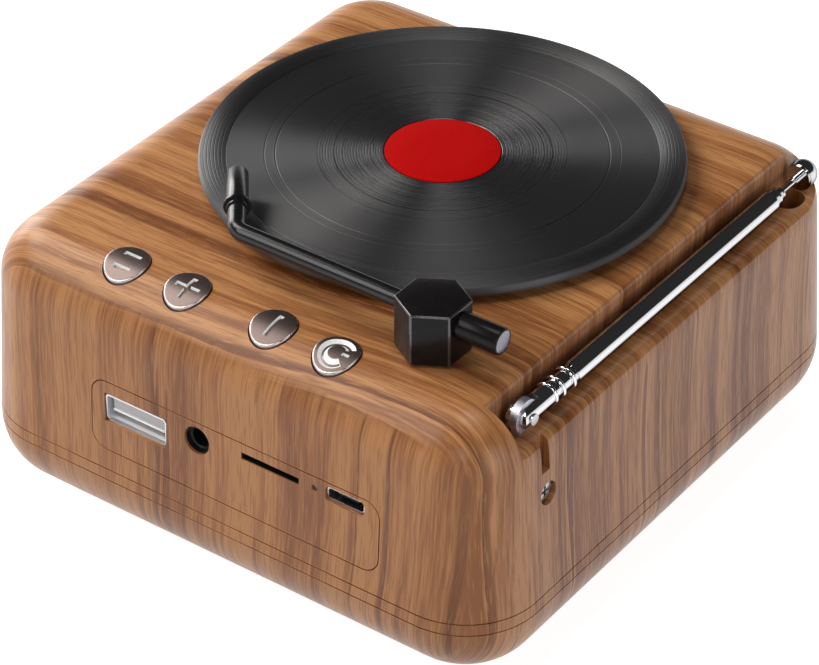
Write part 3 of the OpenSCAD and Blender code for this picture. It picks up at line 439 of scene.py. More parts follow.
@dataclass(frozen=True)
class GroovedVinyl:
    """Gloss black disc whose fine grooves draw the light out into fans. Lengths in metres."""

    name: str = "grooved_vinyl"
    colour: Colour = (0.014, 0.013, 0.014)
    # Darker and lighter rings in the base colour: painted highlight and shade for the light the grooves
    # catch.
    shades: Point = (0.75, 1.3)
    shade_ends: Point = (0.35, 0.65)
    roughness: float = 0.43
    fine_r: float = 0.021
    fine_end: float = 1.1
    fine_swing: float = 0.30
    swing: float = 0.07
    swing_ends: Point = (0.36, 0.64)
    smooth: float = 0.12
    smooth_r: float = 0.0103
    pitch: float = 0.00016
    ring_size: float = 0.00064
    ring_detail: Point = (3.0, 0.7)
    specular: float = 1.0
    anisotropy: float = 0.95
    rotation: float = 0.25

    def material(self) -> bpy.types.Material:
        """Builds the material.

        Returns:
            The finished material.
        """
        shader = Shader(self.name)
        lo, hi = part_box("record")
        centred = (-(lo.x + hi.x) / 2, -(lo.y + hi.y) / 2, 0.0)
        x, y, _ = shader.split(shader.wire("ShaderNodeMapping", shader.place, centred))
        squares = [shader.math("MULTIPLY", way, way) for way in (x, y)]
        radius = shader.math("SQRT", shader.math("ADD", *squares))
        rings = shader.noise(shader.join(radius, 0.0), self.ring_size, *self.ring_detail)
        near = shader.step(radius, self.fine_r, self.fine_r * self.fine_end, self.fine_swing, self.swing)
        swing = shader.math("MULTIPLY", near, shader.step(rings, *self.swing_ends, -1.0, 1.0))
        grooved = shader.math("MULTIPLY", shader.math("ADD", swing, 1.0), self.roughness)
        ring = shader.step(radius, self.smooth_r - self.pitch, self.smooth_r + self.pitch)
        rougher = shader.math("MULTIPLY", ring, shader.math("SUBTRACT", grooved, self.smooth))
        # Base colour swings darker and lighter by ring as painted groove highlight and shade.
        shades = [tuple(part * shade for part in self.colour) for shade in self.shades]
        shader.dress(
            Base_Color=shader.ramp(rings, tuple(zip(self.shade_ends, shades))),
            Roughness=shader.math("ADD", self.smooth, rougher),
            Specular_IOR_Level=self.specular,
            Anisotropic=self.anisotropy,
            Anisotropic_Rotation=self.rotation,
            Tangent=shader.wire("ShaderNodeTangent", direction_type="RADIAL", axis="Z"))
        return shader.material


FINISHES = {
    Slot.WOOD: WoodPrint(),
    Slot.DISC: GroovedVinyl(),
    Slot.LABEL: Moulded("label_paper", (0.475, 0.0025, 0.0022), 0.85, 0.05, 0.0012, 0.04, 0.05),
    Slot.ARM: Moulded("gloss_black", (0.008, 0.008, 0.009), 0.20, 0.10, 0.0020, 0.02, 0.4),
    Slot.KEY: Metal("key_bronze", (0.185, 0.140, 0.127), 0.36, 0.02, Axis.Y, 0.00035, 0.012),
    Slot.CHROME: Metal("chrome", (0.80, 0.80, 0.82), 0.06, 0.02, Axis.X, 0.0012, 0.005, 1.0, 0.05),
    Slot.STEEL: Metal("satin_steel", (0.62, 0.62, 0.64), 0.26, 0.10, Axis.Y, 0.0003, 0.04),
    Slot.BRASS: Metal("brass", (0.70, 0.52, 0.25), 0.25, 0.12, Axis.Z, 0.0004),
    Slot.NYLON: Moulded("nylon", (0.82, 0.80, 0.73), 0.45, 0.05, 0.0008),
    Slot.BOARD: Moulded("board_lacquer", (0.020, 0.150, 0.066), 0.30, 0.20, 0.0012),
    Slot.CHIP: Moulded("chip_resin", (0.020, 0.020, 0.022), 0.50),
    Slot.SOCKET: Moulded("socket_black", (0.0045, 0.0045, 0.005), 0.50, 0.10, 0.0006, 0.04, 0.25),
    Slot.FOOT: Moulded("foot_rubber", (0.022, 0.022, 0.023), 0.75, 0.15, 0.0005, 0.15, 0.3),
    Slot.LIGHT: Moulded("light_pipe", (0.30, 0.31, 0.32), 0.16, 0.06),
    Slot.CELL: Moulded("cell_wrap", (0.030, 0.160, 0.430), 0.28, 0.06, 0.0030),
    Slot.MAGNET: Moulded("ferrite", (0.055, 0.057, 0.062), 0.55, 0.22, 0.0005),
    Slot.CONE: Moulded("cone_paper", (0.026, 0.026, 0.028), 0.70, 0.25, 0.0007, 0.20),
}
OWN_FINISHES = {
    "aerial_bracket": Metal("bracket_satin", (0.60, 0.58, 0.64), 0.45, 0.08, Axis.Z, 0.0005, 0.03),
}


Look = Union[Slot, WoodPrint, Moulded, Metal, GroovedVinyl]
MADE: dict[str, bpy.types.Material] = {}


def material_of(look: Look) -> bpy.types.Material:
    """Gives the material of a finish, made on first use.

    Args:
        look: Slot of the record, or a finish of its own.

    Returns:
        The material.
    """
    finish = FINISHES[look] if isinstance(look, Slot) else look
    if finish.name not in MADE:
        MADE[finish.name] = finish.material()
    return MADE[finish.name]


class Workpiece:
    """A mesh under construction, finished into one named object."""

    def __init__(self, name: str) -> None:
        """Starts an empty piece with that name."""
        self.name = name
        self.mesh = bmesh.new()

    def take(self, part: Mesh, place: Matrix = Matrix.Identity(4), material: int = 0) -> None:
        """Adds a part to the piece.

        Args:
            part: Part to add, which is used up.
            place: Where it goes.
            material: Number of its material among those of the piece.
        """
        bmesh.ops.transform(part, matrix=place, verts=part.verts)
        for face in part.faces:
            face.material_index += material
        patch = bpy.data.meshes.new("patch")
        part.to_mesh(patch)
        part.free()
        self.mesh.from_mesh(patch)
        bpy.data.meshes.remove(patch)

    def finish(self, body: str, slot: Slot, *nodes: str, others: Sequence[Look] = (),
               finish: Union[Look, None] = None, sharp: float = SHARP_ANGLE) -> None:
        """Makes the object, dresses it and hangs it on its body.

        Args:
            body: Body that it moves with.
            slot: Slot of the record for its finish.
            nodes: Nodes of the frame that it stands for.
            others: Further finishes, for its materials 1 and up.
            finish: Its own finish, where the slot's doesn't fit.
            sharp: Angle between two faces from which their edge shows as one.
        """
        for face in self.mesh.faces:
            face.smooth = True
        for edge in self.mesh.edges:
            edge.smooth = edge.calc_face_angle(0.0) < sharp
        data = bpy.data.meshes.new(self.name)
        self.mesh.to_mesh(data)
        self.mesh.free()
        for look in (finish or slot, *others):
            data.materials.append(material_of(look))
        piece = bpy.data.objects.new(self.name, data)
        bpy.context.scene.collection.objects.link(piece)
        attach(piece, body)
        if nodes:
            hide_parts(*nodes)
        LOG.info("%s: %d faces on %s", self.name, len(data.polygons), body)


def lathed(outline: Sequence[Point], steps: int = 96) -> Mesh:
    """Spins an outline about Z.

    Args:
        outline: Radius and height of each point in millimetres, from one pole or rim to the other.
        steps: Steps of the turn.

    Returns:
        The turned part.
    """
    part = bmesh.new()
    verts = [part.verts.new((r * MM, 0.0, h * MM)) for r, h in outline]
    edges = [part.edges.new(pair) for pair in zip(verts, verts[1:])]
    bmesh.ops.spin(part, geom=verts + edges, cent=(0, 0, 0), axis=(0, 0, 1), angle=math.tau,
                   steps=steps, use_merge=True, use_duplicate=False)
    bmesh.ops.remove_doubles(part, verts=part.verts, dist=WELD)
    bmesh.ops.recalc_face_normals(part, faces=part.faces)
    return part


def bevelled(part: Mesh, edges: Sequence[bmesh.types.BMEdge], offset: float,
             segments: int = 2) -> None:
    """Rounds edges of a part with a bevel of that width in millimetres."""
    bmesh.ops.bevel(part, geom=list(edges), offset=offset * MM, offset_type="OFFSET", affect="EDGES",
                    segments=segments, profile=0.5, material=-1, clamp_overlap=True)


def block(low: Sequence[float], high: Sequence[float], rounding: float = 0.0,
          segments: int = 2) -> Mesh:
    """Makes a box with rounded edges.

    Args:
        low: Lowest corner in millimetres.
        high: Highest corner in millimetres.
        rounding: Width of the rounding of its edges.
        segments: Segments of the rounding.

    Returns:
        The box.
    """
    part = bmesh.new()
    bmesh.ops.create_cube(part, size=1.0)
    lo, hi = Vector(low) * MM, Vector(high) * MM
    place = Matrix.Translation((lo + hi) / 2) @ Matrix.Diagonal((*(hi - lo), 1.0))
    bmesh.ops.transform(part, matrix=place, verts=part.verts)
    if rounding:
        bevelled(part, part.edges, rounding, segments)
    return part


def facing(direction: Sequence[float], at: Sequence[float]) -> Matrix:
    """Returns the placing that turns Z to a direction and moves the origin to a point in metres."""
    turn = Vector((0, 0, 1)).rotation_difference(Vector(direction).normalized())
    return Matrix.Translation(at) @ turn.to_matrix().to_4x4()


def moved(part: Mesh, made: Sequence[object], way: Sequence[float]) -> None:
    """Moves the points among what an operator made, by a way in metres."""
    points = [item for item in made if isinstance(item, bmesh.types.BMVert)]
    bmesh.ops.translate(part, vec=way, verts=points)


@dataclass
class Turntable:
    """Disc with its grooves and label. Sizes in millimetres."""

    turn_steps: int = 192
    sharp_deg: float = 8.0
    edge_r: float = 0.9
    edge_steps: int = 8
    under_steps: int = 6
    hole_r: float = 1.55
    hole_d: float = 1.1
    recess_r: float = 10.15
    recess: float = 0.14
    lip: float = 0.08
    lip_d: float = 0.05
    fine_first: float = 10.9
    fine_last: float = 21.5
    fine_pitch: float = 0.48
    fine_w: float = 0.24
    fine_d: float = 0.025
    band_rings: tuple[Point, ...] = ((28.75, 0.08), (30.6, 0.04))
    band_w: float = 0.3
    rim_in: float = 37.2
    rim_peak: float = 39.5
    rim_out: float = 41.5
    rim_first: float = 38.0
    rim_pitch: float = 0.6
    rim_grooves: int = 6
    rim_w: float = 0.22
    rim_d: float = 0.05
    label_steps: int = 128
    label_edge: tuple[Point, ...] = ((0.0, 0.10), (0.04, 0.03), (0.12, 0.0))

    def build(self) -> None:
        """Makes the disc and its label."""
        lo, hi = (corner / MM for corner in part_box("record"))
        self.centre = Vector(((lo.x + hi.x) / 2, (lo.y + hi.y) / 2, 0.0)) * MM
        self.radius = (hi.x - lo.x) / 2
        self.low, self.bead_top = lo.z, hi.z
        self.top = self.low + 2 * self.edge_r
        self._disc()
        self._label()

    def _height(self, r: float) -> float:
        """Returns the height of the ungrooved upper face at a radius."""
        out = (r - self.rim_peak) / (self.rim_peak - self.rim_in)
        return self.top + (self.bead_top - self.top) * max(0.0, 1.0 - out * out)

    def _groove(self, r: float, width: float, depth: float) -> list[Point]:
        """Returns the outline of a groove in the upper face, given its middle radius."""
        places = ((r - width / 2, 0.0), (r, depth), (r + width / 2, 0.0))
        return [(at, self._height(at) - drop) for at, drop in places]

    def _disc(self) -> None:
        """Turns the disc with its rings cut into the upper face."""
        top, middle = self.top, self.low + self.edge_r
        outline: list[Point] = [(0.0, top - self.recess), (self.recess_r, top - self.recess)]
        outline += [(self.recess_r + self.lip, top - self.lip_d), (self.recess_r + 2 * self.lip, top)]
        for i in range(round((self.fine_last - self.fine_first) / self.fine_pitch) + 1):
            outline += self._groove(self.fine_first + i * self.fine_pitch, self.fine_w, self.fine_d)
        for ring, depth in self.band_rings:
            outline += self._groove(ring, self.band_w, depth)
        outline += self._groove(self.rim_in, self.rim_w, self.rim_d)
        for i in range(self.rim_grooves):
            outline += self._groove(self.rim_first + i * self.rim_pitch, self.rim_w, self.rim_d)
        edge_top = self._height(self.rim_out)
        for i in range(self.edge_steps + 1):
            turn = math.radians(90 * i / self.edge_steps)
            outline.append((self.rim_out + (self.radius - self.rim_out) * math.sin(turn),
                            middle + (edge_top - middle) * math.cos(turn)))
        for i in range(1, self.under_steps + 1):
            turn = math.radians(90 * i / self.under_steps)
            outline.append((self.radius - self.edge_r * (1 - math.cos(turn)),
                            middle - self.edge_r * math.sin(turn)))
        hole_top = self.low + self.hole_d
        outline += [(self.hole_r, self.low), (self.hole_r, hole_top), (0.0, hole_top)]
        disc = Workpiece("record_disc")
        disc.take(lathed(outline, self.turn_steps), Matrix.Translation(self.centre))
        disc.finish("turntable", Slot.DISC, "record", sharp=math.radians(self.sharp_deg))

    def _label(self) -> None:
        """Turns the flat label with its soft edge."""
        lo, hi = (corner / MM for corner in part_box("record_label"))
        r = (hi.x - lo.x) / 2
        outline = [(0.0, lo.z), (r, lo.z)]
        outline += [(r - inward, hi.z - drop) for inward, drop in self.label_edge]
        outline += [(r / 2, hi.z), (0.0, hi.z)]
        label = Workpiece("record_label_disc")
        label.take(lathed(outline, self.label_steps), Matrix.Translation(self.centre))
        label.finish("turntable", Slot.LABEL, "record_label")


@dataclass
class Tonearm:
    """Six-sided pivot block, bent arm, head and counterweight. Sizes in millimetres."""

    satin: Moulded = Moulded("satin_black", (0.0085, 0.0072, 0.0072), 0.24, 0.12, 0.0012, 0.04, 0.16)
    end_grey: Metal = Metal("counterweight_end", (0.24, 0.23, 0.27), 0.22, 0.05, Axis.NONE, 0.0008, 0.02)
    # Bevel black: glossier than the faces, and lighter as a painted highlight along the edges.
    edge_gloss_painted_highlight: Moulded = Moulded("edge_black_painted_highlight", (0.030, 0.029, 0.030), 0.20, 0.10, 0.0012, 0.02, 1.0)
    block_sides: int = 6
    block_bevel: float = 0.28
    bevel_area: float = 4.0
    bevel_segments: int = 3
    arm_r: float = 1.6
    arm_sides: int = 48
    arm_len: float = 39.5
    arm_lap: float = 2.0
    bend_r: float = 3.4
    bend_steps: int = 20
    turn_deg: float = 52.0
    grip: float = 3.0
    head_len: float = 17.0
    barrel_len: float = 9.4
    head_r: float = 1.9
    collar_r: float = 2.35
    collar_t: float = 0.6
    sleeve: float = 1.0
    soft: float = 0.12
    chamfer: float = 0.1
    tip: float = 0.3
    tip_soft: float = 0.08
    stem_r: float = 1.6
    weight_r: float = 2.3
    weight_weld: float = 0.001
    weight_edge: tuple[Point, ...] = ((0.0, 0.45), (0.12, 0.20), (0.35, 0.10))
    weight_end: tuple[Point, ...] = ((0.35, 0.10), (0.50, 0.06), (0.92, 0.02))

    def build(self) -> None:
        """Makes every piece of the arm."""
        self.axis_z = sum(corner.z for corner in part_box("counterweight")) / 2
        self._block()
        self._tube()
        self._head()
        self._counterweight()

    def _block(self) -> None:
        """Makes the pivot block, which the other pieces are placed by."""
        lo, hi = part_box("arm_block")
        self.pivot = Vector(((lo.x + hi.x) / 2, (lo.y + hi.y) / 2, 0.0))
        self.flat = (hi.y - lo.y) / 2 / MM
        part = bmesh.new()
        bmesh.ops.create_circle(part, cap_ends=True, segments=self.block_sides, radius=(hi.x - lo.x) / 2,
                                matrix=Matrix.Rotation(math.radians(90), 4, "Z"))
        moved(part, bmesh.ops.extrude_face_region(part, geom=part.faces[:])["geom"], (0, 0, hi.z - lo.z))
        bmesh.ops.recalc_face_normals(part, faces=part.faces)
        bevelled(part, part.edges, self.block_bevel, self.bevel_segments)
        # Small bevel faces take the lighter black: a painted highlight along the edges.
        for face in part.faces:
            face.material_index = int(face.calc_area() < self.bevel_area * MM ** 2)
        piece = Workpiece("pivot_block")
        piece.take(part, Matrix.Translation((self.pivot.x, self.pivot.y, lo.z)))
        piece.finish("tonearm", Slot.ARM, "arm_block", others=(self.edge_gloss_painted_highlight,), finish=self.satin)

    def _tube(self) -> None:
        """Draws the round arm from the block through its bend into the head."""
        turn = math.radians(self.turn_deg)
        lead = self.bend_r * math.tan(turn / 2)
        start, bend = self.flat - self.grip, self.arm_len - lead
        part = bmesh.new()
        ring = bmesh.ops.create_circle(part, segments=self.arm_sides, radius=self.arm_r * MM,
                                       matrix=Matrix.Rotation(math.radians(90), 4, "X"))["verts"]
        bmesh.ops.translate(part, vec=(0, -start * MM, 0), verts=ring)
        rim = self._drawn(part, part.edges[:], Vector((0, (start - bend) * MM, 0)))
        spun = bmesh.ops.spin(part, geom=rim, cent=(-self.bend_r * MM, -bend * MM, 0), axis=(0, 0, 1),
                              angle=-turn, steps=self.bend_steps, use_merge=False, use_duplicate=False)
        rim = [item for item in spun["geom_last"] if isinstance(item, bmesh.types.BMEdge)]
        heading = Vector((-math.sin(turn), -math.cos(turn), 0))
        self._drawn(part, rim, heading * (self.head_len - self.barrel_len + self.arm_lap - lead) * MM)
        bmesh.ops.holes_fill(part, edges=part.edges, sides=0)
        bmesh.ops.recalc_face_normals(part, faces=part.faces)
        piece = Workpiece("arm_rod")
        piece.take(part, Matrix.Translation((self.pivot.x, self.pivot.y, self.axis_z)))
        piece.finish("tonearm", Slot.ARM, "arm_tube")

    @staticmethod
    def _drawn(part: Mesh, rim: Sequence[bmesh.types.BMEdge], way: Vector) -> list[bmesh.types.BMEdge]:
        """Draws the open end of the arm out along a straight.

        Args:
            part: Arm under construction.
            rim: Edges of its open end.
            way: Length and direction of the straight.

        Returns:
            Edges of the new end.
        """
        made = bmesh.ops.extrude_edge_only(part, edges=rim)["geom"]
        moved(part, made, way)
        return [edge for edge in part.edges if all(vert in made for vert in edge.verts)]

    def _head(self) -> None:
        """Turns the head's barrel with its thin collar."""
        turn = math.radians(self.turn_deg)
        heading = Vector((-math.sin(turn), -math.cos(turn), 0))
        corner = Vector((self.pivot.x, self.pivot.y - self.arm_len * MM, self.axis_z))
        r, c, end = self.head_r, self.collar_r, self.head_len
        back = end - self.barrel_len
        ring = back - self.collar_t
        neck = ring - self.sleeve
        outline = [(self.arm_r, neck), (r - self.soft, neck), (r, neck + self.soft), (r, ring),
                   (c - self.chamfer, ring), (c, ring + self.soft), (c, back - self.soft),
                   (c - self.chamfer, back), (r, back), (r, end - self.tip),
                   (r - self.chamfer, end - self.tip_soft), (r - self.tip, end), (0.0, end)]
        piece = Workpiece("arm_headshell")
        piece.take(lathed(outline, SMALL_TURN), facing(heading, corner))
        piece.finish("tonearm", Slot.ARM, "arm_head")

    def _counterweight(self) -> None:
        """Turns the counterweight stub with its polished end."""
        lo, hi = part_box("counterweight")
        start, end = (lo.y - self.pivot.y) / MM, (hi.y - self.pivot.y) / MM
        r = self.weight_r
        outline = [(0.0, start), (self.stem_r, start), (self.stem_r, self.flat),
                   (r - self.chamfer, self.flat), (r, self.flat + self.chamfer)]
        outline += [(r - inward, end - drop) for inward, drop in self.weight_edge]
        cap = [(r - inward, end - drop) for inward, drop in self.weight_end]
        place = facing((0, 1, 0), (self.pivot.x, self.pivot.y, self.axis_z))
        piece = Workpiece("counterweight_stub")
        piece.take(lathed(outline, SMALL_TURN), place)
        piece.take(lathed([*cap, (0.0, end)], SMALL_TURN), place, 1)
        bmesh.ops.remove_doubles(piece.mesh, verts=piece.mesh.verts, dist=self.weight_weld * MM)
        piece.finish("tonearm", Slot.ARM, "counterweight", others=(self.end_grey,), finish=self.satin)


class Sign(Enum):
    """Plain sign on each key."""

    PAUSE = "key_1"
    PLUS = "key_2"
    MINUS = "key_3"
    TURN = "key_4"


@dataclass
class KeyRow:
    """Four keys on the rounded edge of the deck. Sizes in millimetres."""

    edge_x: float = 44.332
    arc_z: float = 43.0
    skirt_z: float = 47.4
    ear_low: float = 48.27
    ear_high: float = 49.67
    rim: float = 0.20
    cut: float = 0.50
    stroke: float = 1.95
    slope: float = 0.62
    clear: float = 0.35
    cuts: int = 5
    floor_turn: float = -0.9
    reach: float = 2.9
    bar_x: float = 1.55
    bar_reach: float = 2.2
    turn_r: float = 2.3
    turn_half: float = 0.82
    turn_ends: Point = (34.0, 318.0)
    turn_steps: int = 40
    hand_low: float = 0.5
    stem_r: float = 1.5
    flank: float = 2.6
    bend_from: float = 2.7
    rim_degs: tuple[int, ...] = (18, 36, 54, 72)
    face_rings: int = 12
    ear_half: float = 1.2
    ear_round: float = 0.1
    # Near-white for the sloped walls of the cut signs: a painted highlight, as they catch the bright floor.
    painted_highlight_walls: Metal = Metal("sign_walls_painted_highlight", (0.96, 0.94, 0.92), 0.40, 0.05, Axis.NONE, 0.0006, 0.02, 0.0)
    # Rim metal: smoother than the face, and painted lighter as a highlight on the rounded edge.
    polished_rim_painted_highlight: Metal = Metal("key_rim_painted_highlight", (0.58, 0.52, 0.50), 0.28, 0.05, Axis.NONE, 0.0006, 0.02)

    def build(self) -> None:
        """Makes the four keys."""
        self.arc_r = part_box(Sign.PAUSE.value)[1].z / MM - self.arc_z
        for sign in Sign:
            self._key(sign)

    def _drop(self, x: float) -> float:
        """Returns how far the rounded edge lies below the deck at x."""
        out = max(0.0, x - self.edge_x)
        return self.arc_r - math.sqrt(self.arc_r ** 2 - out ** 2)

    def _bend(self, part: Mesh, above: float) -> None:
        """Lets the points of a flat part above a height in millimetres follow the rounded edge."""
        for vert in (v for v in part.verts if v.co.z / MM > above):
            vert.co.z -= self._drop(vert.co.x / MM) * MM

    def _strokes(self, sign: Sign) -> list[Mesh]:
        """Draws the strokes of a sign about the origin, with their upper face at height zero.

        Args:
            sign: Sign to draw.

        Returns:
            One sloped cutter for each stroke.
        """
        w, reach, half = self.stroke / 2, self.reach, self.turn_half
        if sign is Sign.PAUSE:
            bar = self.bar_reach
            return [self._stroke((x - w, -bar), (x + w, bar)) for x in (-self.bar_x, self.bar_x)]
        if sign is Sign.PLUS:
            return [self._stroke((-reach, -w), (reach, w)), self._stroke((-w, -reach), (w, reach))]
        if sign is Sign.MINUS:
            return [self._stroke((-reach, -w), (reach, w))]
        return [self._arc(), self._stroke((-half, self.hand_low), (half, reach))]

    def _stroke(self, low: Point, high: Point) -> Mesh:
        """Makes a straight cutter that narrows towards its floor.

        Args:
            low: Lowest corner of the stroke.
            high: Highest corner.

        Returns:
            The cutter.
        """
        part = block((*low, -self.cut), (*high, self.clear))
        centre = (Vector(low) + Vector(high)) / 2 * MM
        for vert in part.verts:
            pull = self.slope if vert.co.z < 0 else -self.slope * self.clear / self.cut
            for axis in (0, 1):
                vert.co[axis] -= math.copysign(pull * MM, vert.co[axis] - centre[axis])
        bmesh.ops.subdivide_edges(part, edges=part.edges, cuts=self.cuts, use_grid_fill=True)
        return part

    def _arc(self) -> Mesh:
        """Makes the ring cutter of the turn sign, which is open at one side.

        Returns:
            The cutter.
        """
        part = bmesh.new()
        r, half = self.turn_r, self.turn_half
        wide = half + self.slope * self.clear / self.cut
        section = ((r - wide, self.clear), (r + wide, self.clear), (r + half - self.slope, -self.cut),
                   (r - half + self.slope, -self.cut))
        first, last = self.turn_ends
        turn = Matrix.Rotation(math.radians(90 + first), 4, "Z")
        face = part.faces.new([part.verts.new(turn @ Vector((x, 0, z)) * MM) for x, z in section])
        bmesh.ops.spin(part, geom=[face], cent=(0, 0, 0), axis=(0, 0, 1), angle=math.radians(last - first),
                       steps=self.turn_steps, use_duplicate=False)
        bmesh.ops.recalc_face_normals(part, faces=part.faces)
        return part

    def _cap(self, lo: Vector, hi: Vector) -> bpy.types.Object:
        """Makes the cap of a key as a loose object.

        Args:
            lo: Lowest corner of its node in millimetres.
            hi: Highest corner of its node.

        Returns:
            The cap.
        """
        r, top, rim = (hi.x - lo.x) / 2, hi.z, self.rim
        inner = r - rim
        outline = [(0.0, lo.z), (self.stem_r, lo.z), (self.stem_r, self.skirt_z), (r, self.skirt_z),
                   (r, top - self.flank), (r, top - rim)]
        for angle in map(math.radians, self.rim_degs):
            outline.append((r - rim * (1 - math.cos(angle)), top - rim * (1 - math.sin(angle))))
        outline += [(inner - inner * i / self.face_rings, top) for i in range(self.face_rings + 1)]
        part = lathed(outline)
        for face in part.faces:
            # Rim faces take the lighter metal: a painted highlight on the rounding.
            middle = face.calc_center_median() / MM
            edge = math.hypot(middle.x, middle.y) > inner and middle.z > top - rim
            face.material_index = 2 if edge else 0
        x, y = (lo.x + hi.x) / 2, (lo.y + hi.y) / 2
        bmesh.ops.translate(part, vec=(x * MM, y * MM, 0), verts=part.verts)
        self._bend(part, top - self.bend_from)
        return self._loose("cap", part)

    @staticmethod
    def _loose(name: str, part: Mesh) -> bpy.types.Object:
        """Makes an object that is not yet a piece.

        Args:
            name: Name of the object.
            part: Part to use up.

        Returns:
            The object.
        """
        data = bpy.data.meshes.new(name)
        part.to_mesh(data)
        part.free()
        for _ in range(3):
            data.materials.append(None)
        loose = bpy.data.objects.new(name, data)
        bpy.context.scene.collection.objects.link(loose)
        return loose

    def _key(self, sign: Sign) -> None:
        """Makes one key and cuts its sign.

        Args:
            sign: Sign of the key, named for its node.
        """
        lo, hi = (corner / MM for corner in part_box(sign.value))
        x, y = (lo.x + hi.x) / 2, (lo.y + hi.y) / 2
        cap = self._cap(lo, hi)
        for part in self._strokes(sign):
            for face in part.faces:
                face.normal_update()
                # Stroke floors keep the key's metal; the walls take the near-white painted highlight.
                face.material_index = 0 if face.normal.z < self.floor_turn else 1
            bmesh.ops.translate(part, vec=(x * MM, y * MM, hi.z * MM), verts=part.verts)
            self._bend(part, 0.0)
            cutter = self._loose("cutter", part)
            cut = cap.modifiers.new("cut", "BOOLEAN")
            cut.operation, cut.solver, cut.object = "DIFFERENCE", "EXACT", cutter
            bpy.context.view_layer.update()
            graph = bpy.context.evaluated_depsgraph_get()
            result = bpy.data.meshes.new_from_object(cap.evaluated_get(graph))
            cap.modifiers.clear()
            cap.data = result
            bpy.data.objects.remove(cutter)
        piece = Workpiece(f"{sign.value}_cap")
        piece.mesh.from_mesh(cap.data)
        bpy.data.objects.remove(cap)
        piece.take(block((x - self.ear_half, lo.y, self.ear_low), (x + self.ear_half, hi.y, self.ear_high),
                         self.ear_round))
        piece.finish(sign.value, Slot.KEY, sign.value, others=(self.painted_highlight_walls, self.polished_rim_painted_highlight))


